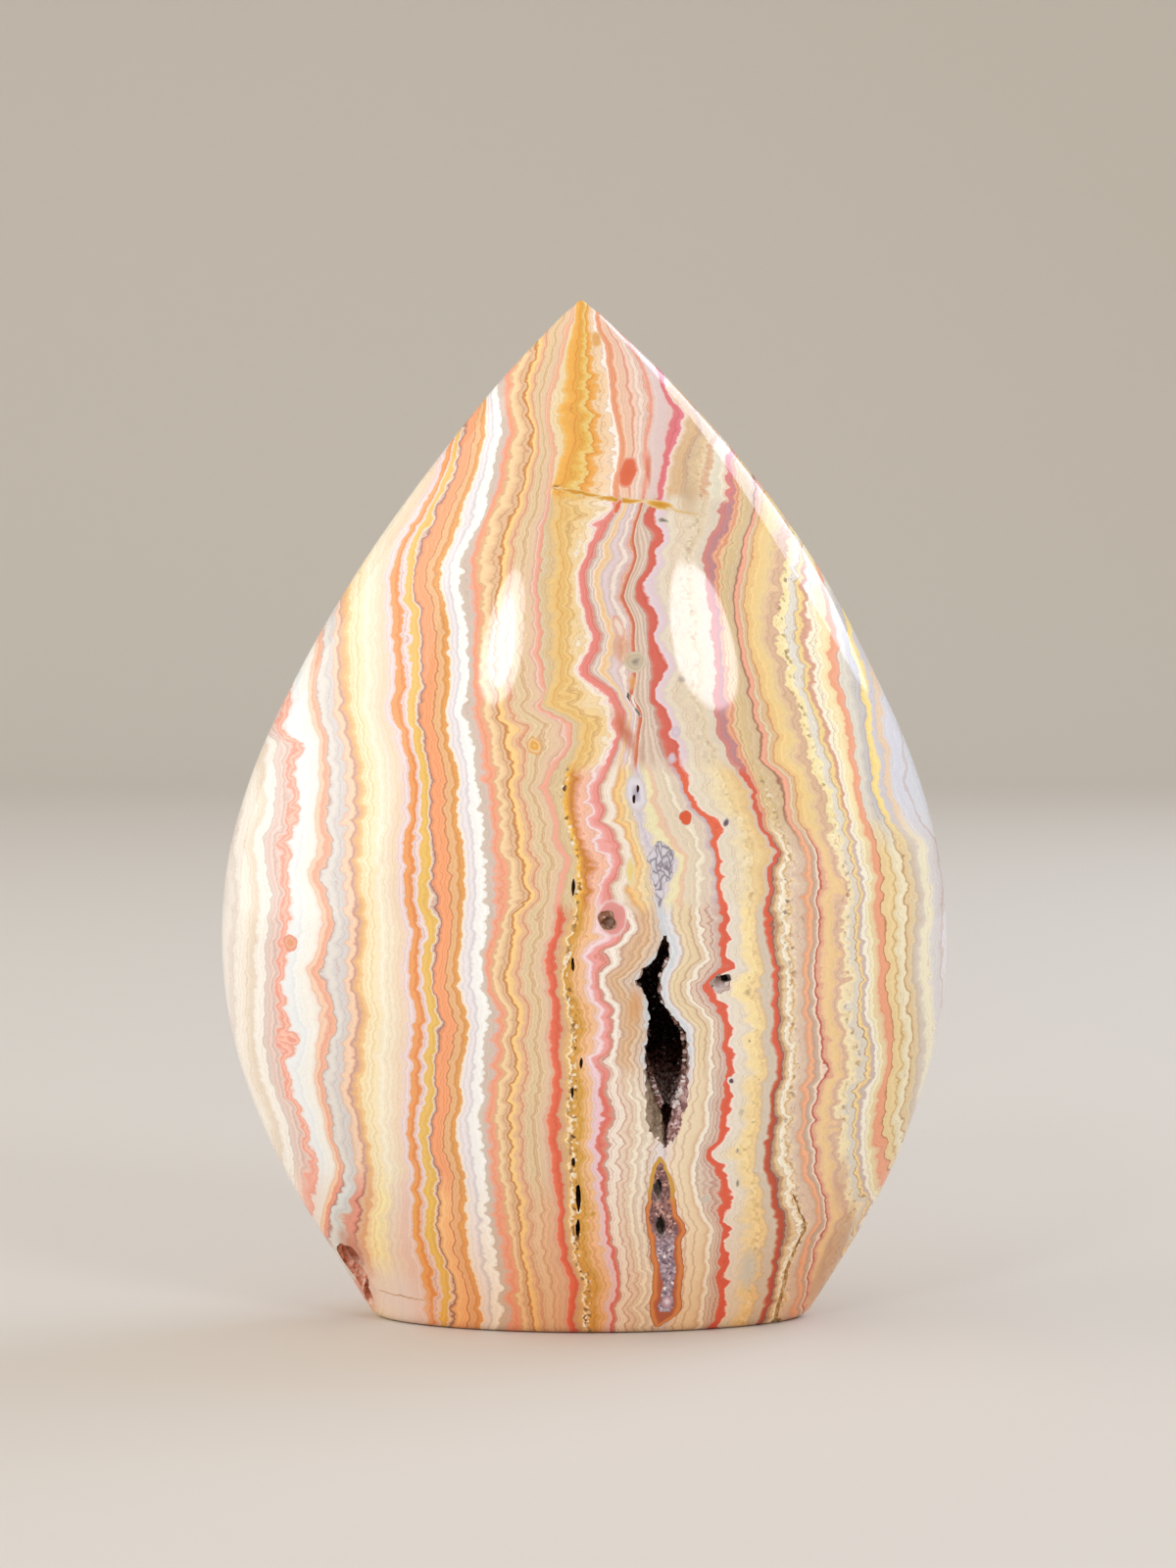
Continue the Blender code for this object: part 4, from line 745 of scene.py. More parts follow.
# The lists of the middle, the left and the right, from the base up. Each list takes over from the one
# before it between the two heights behind its name.
MIDDLE = (BASE_LAYERS, (LOW_LAYERS, 24.0, 28.0), (WAIST_LAYERS, 40.2, 42.0), (UPPER_LAYERS, 52.5, 54.5),
          (TOP_LAYERS, 77.1, 78.3))
LEFT = (LEFT_LOW_LAYERS, (LEFT_LAYERS, 13.5, 17.0))
RIGHT = (RIGHT_LAYERS, (RIGHT_UPPER_LAYERS, 45.0, 50.0))
RAGGED_HEIGHT = 2.4
RAMP_STOPS = 31  # as many as a colour ramp holds, less one
VEIN = [(0.0, "D08E26"), (0.6, "DDA23C"), (0.85, "EBC078"), (1.0, "F2D8A8")]
LILAC = [(0.0, "A79FAE"), (0.35, "CFC8D6"), (0.6, "EDE8F0"), (0.85, "E6DFE4"), (1.0, "DDD2D0")]
SPOTS = [
    # x, height, half width, half height, tilt in degrees, then (radius, colour) from the middle outwards.
    # Two more digits on a colour say how strongly it covers, from 00 to FF.
    (2.5, 38.85, 1.45, 1.8, 0, [(0.0, "DF8F8A"), (0.75, "EC9F99"), (0.86, "F6DAD8C0"), (1.0, "F4D6D400")]),
    (9.1, 47.7, 0.62, 0.7, 0, [(0.0, "E2623B"), (0.8, "E55F36"), (0.9, "D97A5E"), (1.0, "E9DACB")]),
    (4.6, 61.6, 0.95, 0.95, 0, [(0.0, "8F8074"), (0.25, "B9AA98"), (0.5, "D3C4A8"), (0.75, "CDBBA0"),
                                (0.9, "E3D6BC"), (1.0, "D5C4AE")]),
    (-26.75, 36.0, 0.75, 0.75, 0, [(0.0, "F5C49A"), (0.3, "F2A077"), (0.6, "F6BE9E"), (1.0, "F29D86")]),
    (12.7, 47.3, 0.25, 0.4, 20, [(0.0, "5E4B58"), (0.7, "7E6C78"), (1.0, "D5C8C0")]),
    (13.25, 24.0, 0.38, 0.38, 0, [(0.0, "4A3138"), (0.5, "6E5054"), (0.65, "EFE3DC"), (1.0, "F1E8DE")]),
    (14.2, 21.0, 0.3, 0.4, 0, [(0.0, "CFC2B6"), (0.7, "D9CCBC"), (1.0, "F1DEAE")]),
    (13.9, 14.3, 0.2, 0.35, 0, [(0.0, "7E6B5C"), (1.0, "D9CDB4")]),
    (13.9, 17.4, 0.18, 0.25, 0, [(0.0, "8A7464"), (1.0, "E0D2B8")]),
    (8.75, 60.0, 0.35, 0.3, 0, [(0.0, "A8988C"), (1.0, "DCCDB6")]),
    (14.8, 27.6, 0.14, 0.2, 0, [(0.0, "8C7862"), (1.0, "EBD8A8")]),
    (14.6, 32.0, 0.3, 0.3, 0, [(0.0, "C2A878"), (1.0, "F1DDA6")]),
    (4.0, 78.8, 0.75, 1.5, 14, [(0.0, "E36C46"), (0.85, "E87550"), (1.0, "F0A288")]),
    (-4.45, 54.1, 0.55, 0.8, -25, [(0.0, "F6CE7A"), (0.45, "F0A94C"), (0.7, "F6D7A0"), (1.0, "E9A860")]),
    (4.65, 49.9, 0.85, 1.6, -8, LILAC),
    (-2.5, 77.4, 0.35, 0.3, 0, [(0.0, "9B6420"), (0.6, "C98A34"), (1.0, "E9B75C")]),
    (-0.2, 76.85, 2.5, 0.2, 12, VEIN), (3.2, 76.25, 2.4, 0.24, 4, VEIN), (6.9, 75.8, 1.3, 0.42, 12, VEIN),
    (9.2, 75.2, 1.7, 0.2, 10, [(0.0, "E2BE82"), (0.7, "E8CC9A"), (1.0, "EBD9B8")]),
    (4.6, 31.0, 0.9, 3.0, 6, [(0.0, "DF9C5ECC"), (0.5, "E2A86C99"), (1.0, "E4C29C00")]),
    (-17.8, 2.4, 4.6, 5.0, 0, [(0.0, "EFDAD6D0"), (0.5, "F0DCD4A0"), (1.0, "F2DED000")]),
    (-17.0, 2.9, 3.4, 0.12, 6, [(0.0, "C08656D0"), (0.7, "CF9C70A0"), (1.0, "E6C8A800")]),
    (3.3, 62.9, 1.1, 1.9, 0, [(0.0, "DE9058C0"), (0.5, "E0A070A0"), (1.0, "E3B48C00")]),
    (3.15, 64.7, 0.4, 1.15, -20, [(0.0, "F6E6DA"), (0.6, "F4DCCB"), (1.0, "E9A98C")]),
    (4.3, 59.8, 0.5, 0.8, 0, [(0.0, "EBA65ED0"), (0.6, "EDB678A0"), (1.0, "EFC69000")]),
    (3.7, 55.3, 0.9, 3.2, -26, [(0.0, "C65C38D8"), (0.4, "D07650B0"), (1.0, "DDA07A00")]),
    (4.0, 58.5, 0.14, 0.5, -12, [(0.0, "5E544C"), (0.8, "7C7066"), (1.0, "F1ECE4")]),
    (4.45, 58.1, 0.12, 0.6, -18, [(0.0, "FBF8F2"), (1.0, "F1E8DC")]),
    (4.8, 57.1, 0.11, 0.55, -35, [(0.0, "6A6058"), (0.8, "8C8076"), (1.0, "EEE6DC")]),
    (5.9, 79.0, 0.3, 2.3, 0, [(0.0, "DC6A4ED0"), (0.5, "E07A5CA0"), (1.0, "E8A08800")]),
    (1.2, 91.3, 0.6, 1.0, 0, [(0.0, "E39A30D0"), (0.6, "E8A848B0"), (1.0, "EDBE7000")]),
    (-21.6, 7.2, 1.5, 2.6, -20, [(0.0, "CC8468D0"), (0.6, "D69880A0"), (1.0, "E0AE9800")]),
    (23.0, 6.0, 1.25, 6.6, 20, [(0.0, "D09A72D8"), (0.7, "D09C76B0"), (1.0, "D4A48000")]),
    (23.6, 13.6, 0.9, 3.2, 4, [(0.0, "D8A88CB0"), (0.6, "DCB09480"), (1.0, "E0B89C00")]),
    (15.1, 5.9, 1.1, 2.7, 4, [(0.0, "C9C6BEC8"), (0.6, "D2CABC90"), (1.0, "DCCCB400")]),
    (9.6, 76.6, 1.2, 2.4, 0, [(0.0, "D0B08AC0"), (0.6, "D8BC9880"), (1.0, "E0CBAA00")]),
    (8.25, 55.3, 0.5, 0.7, 0, [(0.0, "E6D6E0"), (0.6, "DCC8D4"), (1.0, "E3D2CC00")]),
    (7.9, 53.0, 0.45, 0.6, 0, [(0.0, "E3D0DC"), (0.6, "D9C2CE"), (1.0, "E3D2CC00")]),
    (7.6, 3.05, 0.5, 0.65, 0, [(0.0, "FAF4F5"), (0.4, "E9CFD6"), (0.7, "C9A2AE"), (1.0, "A98C98")]),
    (7.2, 74.4, 0.5, 0.2, 0, [(0.0, "6F6862"), (0.6, "A59C90"), (1.0, "DDD0BC")]),
    (3.05, 75.7, 0.3, 0.8, 20, [(0.0, "E2684A"), (0.8, "E67A5C"), (1.0, "F0C8B4")]),
    (4.15, 43.0, 0.4, 1.3, 0, [(0.0, "F6DA84"), (0.7, "F5E0A0"), (1.0, "F1E4C4")]),
    (-12.95, 14.8, 0.2, 0.12, 0, [(0.0, "E88FA0"), (1.0, "F4BCA8")]),
    (0.85, 11.7, 0.32, 0.3, 0, [(0.0, "C98E20"), (0.5, "D59E38C0"), (1.0, "E0AC4C00")]),
    (11.0, 12.9, 0.45, 0.4, 30, [(0.0, "D9CCBA"), (0.7, "DDD0BE"), (0.85, "C9BBA8"), (1.0, "EFE4CE")]),
]
SPOT_SHARE = 0.8  # of a ramp that a spot's radius takes up; it has faded out by SPOT_END
SPOT_END = 0.9
# The finish: how light and how strong the colours are, how far coarse grains differ in tone and gloss
VALUE = 0.785
SATURATION = 0.96
GRAIN_TONE = 0.45
GRAIN_ROUGHNESS = 0.05
POLISH = 0.05
QUARTZ_IOR = 1.54


def linear(hex_colour):
    """An sRGB colour as six hex digits, turned to linear light: ((c + 0.055) / 1.055) ** 2.4 but near 0."""
    values = [int(hex_colour[i:i + 2], 16) / 255 for i in (0, 2, 4)]
    return (*[c / 12.92 if c <= 0.04045 else ((c + 0.055) / 1.055) ** 2.4 for c in values], 1.0)


def add(tree, kind, inputs=None, out=0, stops=(), **settings):
    """Adds a node with its settings and inputs, an input being a value or the socket that feeds it.

    A colour ramp's stops are (position, hex colour), with two more digits for how strongly it covers.
    """
    node = tree.nodes.new("ShaderNode" + kind)
    for name, value in settings.items():
        setattr(node, name, value)
    for socket, value in (inputs or {}).items():
        if isinstance(value, bpy.types.NodeSocket):
            tree.links.new(value, node.inputs[socket])
        else:
            node.inputs[socket].default_value = value
    for _ in stops[2:]:
        node.color_ramp.elements.new(0.5)
    for i, (position, shade) in enumerate(stops):
        node.color_ramp.elements[i].position = position
        node.color_ramp.elements[i].color = (*linear(shade)[:3], int(shade[6:] or "FF", 16) / 255)
    return node.outputs[out]


# Settings that come up again and again: a Mix node that lays a colour over another, one that multiplies
# them, and a MapRange node that goes from 0 to 1 and eases in and out
OVER = {"out": 2, "data_type": "RGBA"}
TIMES = {**OVER, "blend_type": "MULTIPLY"}
EASED = {"interpolation_type": "SMOOTHSTEP"}


def new_material(name):
    """A new material, with its node tree and its shader."""
    material = bpy.data.materials.new(name)
    material.use_nodes = True
    return material, material.node_tree, material.node_tree.nodes["Principled BSDF"]


def place_in_mm(tree):
    """The place on the object, in millimetres."""
    place = add(tree, "TexCoord", out=3)
    return add(tree, "VectorMath", {0: place, 3: 1 / MM}, operation="SCALE")


def layer_colours(tree, layer, layers):
    """The colour of each layer. The list is shared out over several ramps, to keep thin lines thin."""
    height, bands = layers
    names = layer_at([place for place, _ in bands], height)
    names = np.maximum.accumulate(names + np.arange(len(names)) * 1e-4)
    colour = None
    for start in range(0, len(bands) - 1, RAMP_STOPS - 1):
        part = range(start, min(start + RAMP_STOPS, len(bands)))
        low, high = float(names[part[0]]), float(names[part[-1]])
        share = add(tree, "MapRange", {0: layer, 1: low, 2: high})
        stops = [((names[i] - low) / (high - low), bands[i][1]) for i in part]
        ramp = add(tree, "ValToRGB", {0: share}, stops=stops)
        if colour is None:
            colour = ramp
        else:
            past = add(tree, "Math", {0: layer, 1: low}, operation="GREATER_THAN")
            colour = add(tree, "Mix", {0: past, 6: colour, 7: ramp}, **OVER)
    return colour


# Patterns that push the layers sideways. Waves: how many to the millimetre, detail, roughness, millimetres.
# Rounded lobes, whose edges make first the scallops and then the teeth: to the millimetre, power, strength.
WAVES = [(0.42, 2.0, 0.6, 0.9), (1.05, 1.5, 0.5, 0.75)]
LOBES = [(0.8, 2.0, 1.6), (2.1, 1.6, 1.3)]
FIBRE_PUSH = 0.34
MEAN_PUSH = (1.0, 0.5, 0.35)  # taken off again: what the waves push, then what scallops and teeth do


def frilled_layer(tree, place, frills):
    """The layer, pushed sideways by waves, by the scallops between rounded lobes and by fine teeth."""
    pushed = add(tree, "Attribute", out=2, attribute_name="layer")
    along = add(tree, "VectorMath", {0: place, 1: (0.3, 0.7, 1.0)}, operation="MULTIPLY")
    for scale, detail, roughness, push in WAVES:
        wave = {"Vector": along, "Scale": scale, "Detail": detail, "Roughness": roughness}
        pushed = add(tree, "Math", {0: add(tree, "TexNoise", wave), 1: push, 2: pushed},
                     operation="MULTIPLY_ADD")
    fibre = add(tree, "VectorMath", {0: place, 1: (0.9, 1.5, 2.6)}, operation="MULTIPLY")
    fine = add(tree, "TexNoise", {"Vector": fibre, "Scale": 1.4, "Detail": 3.0, "Roughness": 0.65})
    parts = add(tree, "SeparateXYZ", {0: frills}).node.outputs
    mean_push = MEAN_PUSH[0]
    for amount, (scale, power, strength) in zip(parts, LOBES):
        lobes = add(tree, "TexVoronoi", {"Vector": along, "Scale": scale})
        lobes = add(tree, "Math", {0: lobes, 1: power}, operation="POWER")
        lobes = add(tree, "Math", {0: lobes, 1: strength}, operation="MULTIPLY")
        pushed = add(tree, "Math", {0: amount, 1: lobes, 2: pushed}, operation="MULTIPLY_ADD")
    for amount, share in zip(parts, MEAN_PUSH[1:]):
        mean_push = add(tree, "Math", {0: amount, 1: share, 2: mean_push}, operation="MULTIPLY_ADD")
    pushed = add(tree, "Math", {0: fine, 1: FIBRE_PUSH, 2: pushed}, operation="MULTIPLY_ADD")
    return add(tree, "Math", {0: pushed, 1: mean_push}, operation="SUBTRACT"), fine


def agate_colour(tree, place, frills):
    """All the layers' colours, with the lists for each stretch of height laid over one another."""
    layer, fine = frilled_layer(tree, place, frills)
    height = add(tree, "SeparateXYZ", {0: place}, out=2)
    ragged = add(tree, "TexNoise", {"Vector": place, "Scale": 0.5, "Detail": 3.0})
    height = add(tree, "Math", {0: ragged, 1: RAGGED_HEIGHT, 2: height}, operation="MULTIPLY_ADD")
    parts = []
    for lowest, *higher in (MIDDLE, LEFT, RIGHT):
        colour = layer_colours(tree, layer, lowest)
        for layers, low, high in higher:
            share = add(tree, "MapRange", {0: height, 1: low, 2: high}, **EASED)
            colour = add(tree, "Mix", {0: share, 6: colour, 7: layer_colours(tree, layer, layers)}, **OVER)
        parts.append(colour)
    left_end = float(layer_at(LEFT_LAYERS[1][-1][0], LEFT_LAYERS[0]))
    right_start = float(layer_at(RIGHT_LAYERS[1][0][0], RIGHT_LAYERS[0]))
    is_left = add(tree, "Math", {0: layer, 1: left_end}, operation="LESS_THAN")
    is_right = add(tree, "Math", {0: layer, 1: right_start}, operation="GREATER_THAN")
    colour = add(tree, "Mix", {0: is_left, 6: parts[0], 7: parts[1]}, **OVER)
    return add(tree, "Mix", {0: is_right, 6: colour, 7: parts[2]}, **OVER), layer, fine


def add_spots(tree, colour, place):
    """Eyes, dots and specks: a small ball about a place on the face, coloured from its middle outwards."""
    edge = add(tree, "TexNoise", {"Vector": place, "Scale": 1.5, "Detail": 2.0}, out=1)
    edge = add(tree, "VectorMath", {0: edge, 1: (0.5, 0.5, 0.5)}, operation="SUBTRACT")
    place = add(tree, "VectorMath", {0: edge, 1: (0.5, 0.5, 0.5), 2: place}, operation="MULTIPLY_ADD")
    for x, z, half_width, half_height, tilt, rings in SPOTS:
        turned = {"Vector": place, "Location": (x, float(face_y(x, z)), z),
                  "Rotation": (0, math.radians(tilt), 0),
                  "Scale": (half_width, max(half_width, half_height), half_height)}
        local = add(tree, "Mapping", turned, vector_type="TEXTURE")
        radius = add(tree, "VectorMath", {0: local}, out=1, operation="LENGTH")
        radius = add(tree, "Math", {0: radius, 1: SPOT_SHARE}, operation="MULTIPLY")
        stops = [(r * SPOT_SHARE, shade) for r, shade in rings] + [(SPOT_END, rings[-1][1][:6] + "00")]
        ramp = add(tree, "ValToRGB", {0: radius}, stops=stops)
        colour = add(tree, "Mix", {0: ramp.node.outputs[1], 6: colour, 7: ramp}, **OVER)
    return colour


def polished_agate():
    """Gem-polished chalcedony: glassy, a little milky, its layers sharp to a tenth of a millimetre."""
    material, tree, shader = new_material("polished_lace_agate")
    place = place_in_mm(tree)
    frills = add(tree, "Attribute", out=1, attribute_name="frills")
    details = add(tree, "Attribute", out=1, attribute_name="details")
    star, rest_lines, _ = add(tree, "SeparateXYZ", {0: details}).node.outputs
    height = add(tree, "SeparateXYZ", {0: place}, out=2)
    grain = add(tree, "SeparateXYZ", {0: frills}, out=2)
    colour, layer, fine = agate_colour(tree, place, frills)
    # coarse quartz: grains a third of a millimetre across, lighter and darker than the layer they lie in
    grains = add(tree, "TexVoronoi", {"Vector": place, "Scale": 3.0}, out=1)
    tone = add(tree, "Math", {0: grains, 1: 0.5}, operation="SUBTRACT")
    tone = add(tree, "Math", {0: tone, 1: grain}, operation="MULTIPLY")
    value = add(tree, "Math", {0: tone, 1: GRAIN_TONE, 2: VALUE}, operation="MULTIPLY_ADD")
    # fine growth lines along the layers, three to the millimetre, slow drifts of tone, and specks
    lines = add(tree, "TexNoise", {"W": layer, "Scale": 3.2, "Detail": 2.0, "Roughness": 0.7},
                noise_dimensions="1D")
    cloud = add(tree, "TexNoise", {"Vector": place, "Scale": 0.16, "Detail": 3.0})
    speckle = add(tree, "TexNoise", {"Vector": place, "Scale": 4.5, "Detail": 1.0})
    for pattern, amount in ((lines, 0.28), (cloud, 0.12), (fine, 0.10), (speckle, 0.14)):
        value = add(tree, "Math", {0: pattern, 1: amount, 2: value}, operation="MULTIPLY_ADD")
    colour = add(tree, "HueSaturation", {"Saturation": SATURATION, "Value": value, "Color": colour})
    # thin tan lines, where growth stopped for a while
    rests = add(tree, "TexNoise", {"W": layer, "Scale": 2.1, "Detail": 1.0}, noise_dimensions="1D")
    rests = add(tree, "ValToRGB", {0: rests}, stops=[
        (0.36, "D9A68200"), (0.4, "D9A682CC"), (0.44, "D9A68200"),
        (0.56, "C9A08C00"), (0.59, "C9A08CB3"), (0.62, "C9A08C00")])
    shown = add(tree, "Math", {0: rests.node.outputs[1], 1: rest_lines}, operation="MULTIPLY")
    colour = add(tree, "Mix", {0: shown, 6: colour, 7: rests}, **TIMES)
    # painted shade: the colour turns a little warmer and darker towards the base, where less light bounces
    # up onto it
    stained = add(tree, "MapRange", {0: height, 1: 16.0, 2: 0.0})
    colour = add(tree, "Mix", {0: stained, 6: colour, 7: linear("F6DCC2")}, **TIMES)
    # the coarsest seams show open grains of brown and white quartz; the brightest white specks are painted
    # glints off their small faces
    coarse = add(tree, "MapRange", {0: grain, 1: 0.3, 2: 0.7}, **EASED)
    grains_and_painted_glints = add(tree, "ValToRGB", {0: grains}, stops=[
        (0.06, "6B4420"), (0.2, "A9742ECC"), (0.32, "D9A24A00"), (0.72, "FBEFC800"), (0.86, "FFFBEAD9")])
    coarse = add(tree, "Math", {0: coarse, 1: grains_and_painted_glints.node.outputs[1]}, operation="MULTIPLY")
    colour = add(tree, "Mix", {0: coarse, 6: colour, 7: grains_and_painted_glints}, **OVER)
    colour = druse_patch_colour(tree, colour, place, height)
    colour = star_colour(tree, colour, place, star)
    colour = add_spots(tree, colour, place)
    tree.links.new(colour, shader.inputs["Base Color"])
    rough = add(tree, "Math", {0: grain, 1: GRAIN_ROUGHNESS, 2: POLISH}, operation="MULTIPLY_ADD")
    tree.links.new(rough, shader.inputs["Roughness"])
    shader.inputs["IOR"].default_value = QUARTZ_IOR
    return material


def druse_patch_colour(tree, colour, place, height):
    """Low in the seam: a rim, gold above and rust below, round a filling of fine mauve quartz crystals."""
    patch = add(tree, "Attribute", out=1, attribute_name="patch")
    filling, rim, _ = add(tree, "SeparateXYZ", {0: patch}).node.outputs
    wobble = add(tree, "TexNoise", {"Vector": place, "Scale": 1.1, "Detail": 2.0})
    rim = add(tree, "Math", {0: wobble, 1: 0.45, 2: rim}, operation="MULTIPLY_ADD")
    rust = add(tree, "ValToRGB", {0: rim}, stops=[
        (0.2, "C98A6600"), (0.25, "A8502E"), (0.34, "DB8340"), (0.56, "E48C48"), (0.76, "CB6A34"),
        (0.96, "B85C3C")])
    gold = add(tree, "ValToRGB", {0: rim}, stops=[
        (0.2, "E8CE9A00"), (0.3, "D8A23E"), (0.65, "DDAA48"), (0.95, "CF9A50")])
    golden = add(tree, "MapRange", {0: height, 1: 12.2, 2: 14.0}, **EASED)
    rim = add(tree, "Mix", {0: golden, 6: rust, 7: gold}, **OVER)
    colour = add(tree, "Mix", {0: rust.node.outputs[1], 6: colour, 7: rim}, **OVER)
    crystals = add(tree, "TexVoronoi", {"Vector": place, "Scale": 4.2}, out=1)
    # painted glints: the near-white end of the ramp makes bright specks on the crystals
    quartz = add(tree, "ValToRGB", {0: crystals}, stops=[
        (0.08, "6A5260"), (0.35, "937C8A"), (0.6, "B29CA8"), (0.8, "CDBAC2"), (0.88, "FDF8F8")])
    browned = add(tree, "MapRange", {0: height, 1: 8.5, 2: 10.5}, **EASED)
    quartz = add(tree, "Mix", {0: browned, 6: quartz, 7: linear("DDB4A2")}, **TIMES)
    filling = add(tree, "Math", {0: wobble, 1: 0.45, 2: filling}, operation="MULTIPLY_ADD")
    filled = add(tree, "MapRange", {0: filling, 1: 0.2, 2: 0.28}, **EASED)
    return add(tree, "Mix", {0: filled, 6: colour, 7: quartz}, **OVER)


def star_colour(tree, colour, place, star):
    """Above the vug: a star of milky cells, each with a grey outline where the growth closed up."""
    bent = add(tree, "TexNoise", {"Vector": place, "Scale": 0.9, "Detail": 1.0}, out=1)
    bent = add(tree, "VectorMath", {0: bent, 1: (1.2, 1.2, 1.2), 2: place}, operation="MULTIPLY_ADD")
    tall = add(tree, "VectorMath", {0: bent, 1: (1.2, 1.0, 0.55)}, operation="MULTIPLY")
    cells = add(tree, "TexVoronoi", {"Vector": tall, "Scale": 1.1}, feature="DISTANCE_TO_EDGE")
    ragged = add(tree, "TexNoise", {"Vector": place, "Scale": 0.8, "Detail": 2.0})
    ragged = add(tree, "Math", {0: ragged, 1: 1.6, 2: star}, operation="MULTIPLY_ADD")
    ragged = add(tree, "Math", {0: ragged, 1: 0.95}, operation="SUBTRACT")
    line = add(tree, "Math", {0: cells, 1: ragged}, operation="MINIMUM")
    milky = add(tree, "ValToRGB", {0: line}, stops=[
        (0.0, "8A828C00"), (0.025, "98909A"), (0.07, "C0BAC4"), (0.13, "DCD7DF"), (0.4, "E9E6ED")])
    shown = add(tree, "MapRange", {0: ragged, 1: 0.0, 2: 0.05}, **EASED)
    return add(tree, "Mix", {0: shown, 6: colour, 7: milky}, **OVER)


def quartz_wall(name, grain, paint):
    """A wall that broke or grew open: sugary quartz, glinting from many small faces.

    paint makes its colour from the tree, the place and how far the wall lies behind the stone's face.
    """
    material, tree, shader = new_material(name)
    place = place_in_mm(tree)
    patch = add(tree, "Attribute", out=1, attribute_name="patch")
    behind = add(tree, "SeparateXYZ", {0: patch}, out=2)
    tree.links.new(paint(tree, place, behind), shader.inputs["Base Color"])
    facets = add(tree, "TexVoronoi", {"Vector": place, "Scale": 1 / grain})
    bump = add(tree, "Bump", {"Strength": 0.6, "Distance": grain * MM, "Height": facets})
    tree.links.new(bump, shader.inputs["Normal"])
    shader.inputs["Roughness"].default_value = 0.22
    shader.inputs["IOR"].default_value = QUARTZ_IOR
    return material


def broken_quartz(name, shades, grain, shade_depth):
    """A broken wall in a few shades, one to a grain, with painted shade that darkens it towards this depth.
    """
    def paint(tree, place, behind):
        cells = add(tree, "TexVoronoi", {"Vector": place, "Scale": 1 / grain}, out=1)
        stops = [(i / (len(shades) - 1), shade) for i, shade in enumerate(shades)]
        grains = add(tree, "ValToRGB", {0: cells}, stops=stops)
        # painted shade: the deeper the wall lies behind the face, the nearer it goes to near-black
        dark = add(tree, "MapRange", {0: behind, 1: 0.1, 2: shade_depth}, **EASED)
        return add(tree, "Mix", {0: dark, 6: grains, 7: linear("1C0E0A")}, **OVER)

    return quartz_wall(name, grain, paint)


def vug_colour(tree, place, behind):
    """The vug's wall: smoky brown, with painted shade that darkens it to black with depth; its lower,
    shallower slopes are painted paler where they catch the light, brownish left and mauve right.
    """
    cells = add(tree, "TexVoronoi", {"Vector": place, "Scale": 3.0}, out=1)
    depth = add(tree, "Math", {0: cells, 1: 0.9, 2: behind}, operation="MULTIPLY_ADD")
    depth = add(tree, "Math", {0: depth, 1: 0.1}, operation="MULTIPLY")
    # painted shade: the wall goes from pale at the face to near-black the deeper it lies, with some tone
    # from cell to cell
    smoky = add(tree, "ValToRGB", {0: depth}, stops=[
        (0.02, "DCCBC2"), (0.09, "B59A8A"), (0.16, "7A5646"), (0.28, "43241A"), (0.5, "170A08")])
    streaks = add(tree, "VectorMath", {0: place, 1: (2.2, 2.2, 0.5)}, operation="MULTIPLY")
    streaks = add(tree, "TexNoise", {"Vector": streaks, "Scale": 1.0, "Detail": 4.0, "Roughness": 0.7})
    brownish = add(tree, "ValToRGB", {0: streaks}, stops=[
        (0.3, "5E4A38"), (0.5, "978068"), (0.72, "CDBCA4")])
    mauve = add(tree, "ValToRGB", {0: cells}, stops=[
        (0.1, "6E4640"), (0.5, "A87A76"), (0.85, "DDBEBC")])
    x, _, z = add(tree, "SeparateXYZ", {0: place}).node.outputs
    right = add(tree, "MapRange", {0: x, 1: 7.0, 2: 7.6}, **EASED)
    slope = add(tree, "Mix", {0: right, 6: brownish, 7: mauve}, **OVER)
    # painted light: on the low end's shallow slopes the brownish and mauve wall colours show in place of the
    # painted shade, as where the light reaches in
    lit_low_end = add(tree, "MapRange", {0: z, 1: 26.5, 2: 24.0})
    shallow = add(tree, "MapRange", {0: behind, 1: 2.0, 2: 1.0})
    lit_low_end = add(tree, "Math", {0: lit_low_end, 1: shallow}, operation="MULTIPLY")
    return add(tree, "Mix", {0: lit_low_end, 6: smoky, 7: slope}, **OVER)


stone = uncut_stone()
for finish in (polished_agate(),
               quartz_wall("vug_wall_painted_depth_shade", 0.4, vug_colour),
               broken_quartz("pale_broken_quartz", ["7A4E44", "EAD2C8", "FFFFFF"], 0.45, 1.9),
               broken_quartz("red_iron_stained_fracture", ["B4563A", "E09070", "FFE0CC"], 0.6, 7.0),
               broken_quartz("brown_seam_wall", ["A87038", "DCA860", "FFF0CC"], 0.4, 4.0),
               broken_quartz("brown_drusy_quartz", ["8E4E38", "D29E7E", "FFF2E4"], 0.4, 3.0),
               broken_quartz("dark_seam_slit", ["3A2212", "6E4424", "B08850"], 0.3, 0.9)):
    stone.data.materials.append(finish)
VUG, PALE, RED, BROWN, DRUSY, DARK = range(1, 7)
first_cuts = [(VUG, vug_cutter()), (RED, hollow_cutter(*ROUGH_CORNER[0], seed=11)), (BROWN, crack_cutter())]
for i, sizes in enumerate(CRYSTAL_HOLLOWS):
    first_cuts.append((DRUSY if i == 0 else PALE, hollow_cutter(*sizes, seed=20 + i)))
for i, sizes in enumerate(SEAM_SLITS):
    first_cuts.append((DARK, hollow_cutter(*sizes, seed=40 + i)))
cut(stone, first_cuts)
cut(stone, [(RED, hollow_cutter(*ROUGH_CORNER[1], seed=12)), (BROWN, hollow_cutter(*CHIP, seed=13))])
cut(stone, [(RED, hollow_cutter(*ROUGH_CORNER[2], seed=14)), (PALE, hollow_cutter(*DEEPER_HOLLOW, seed=15))])
stone.data.set_sharp_from_angle(angle=math.radians(38))
mark_layers(stone.data)
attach(stone, "root")
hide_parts("agate_flame")
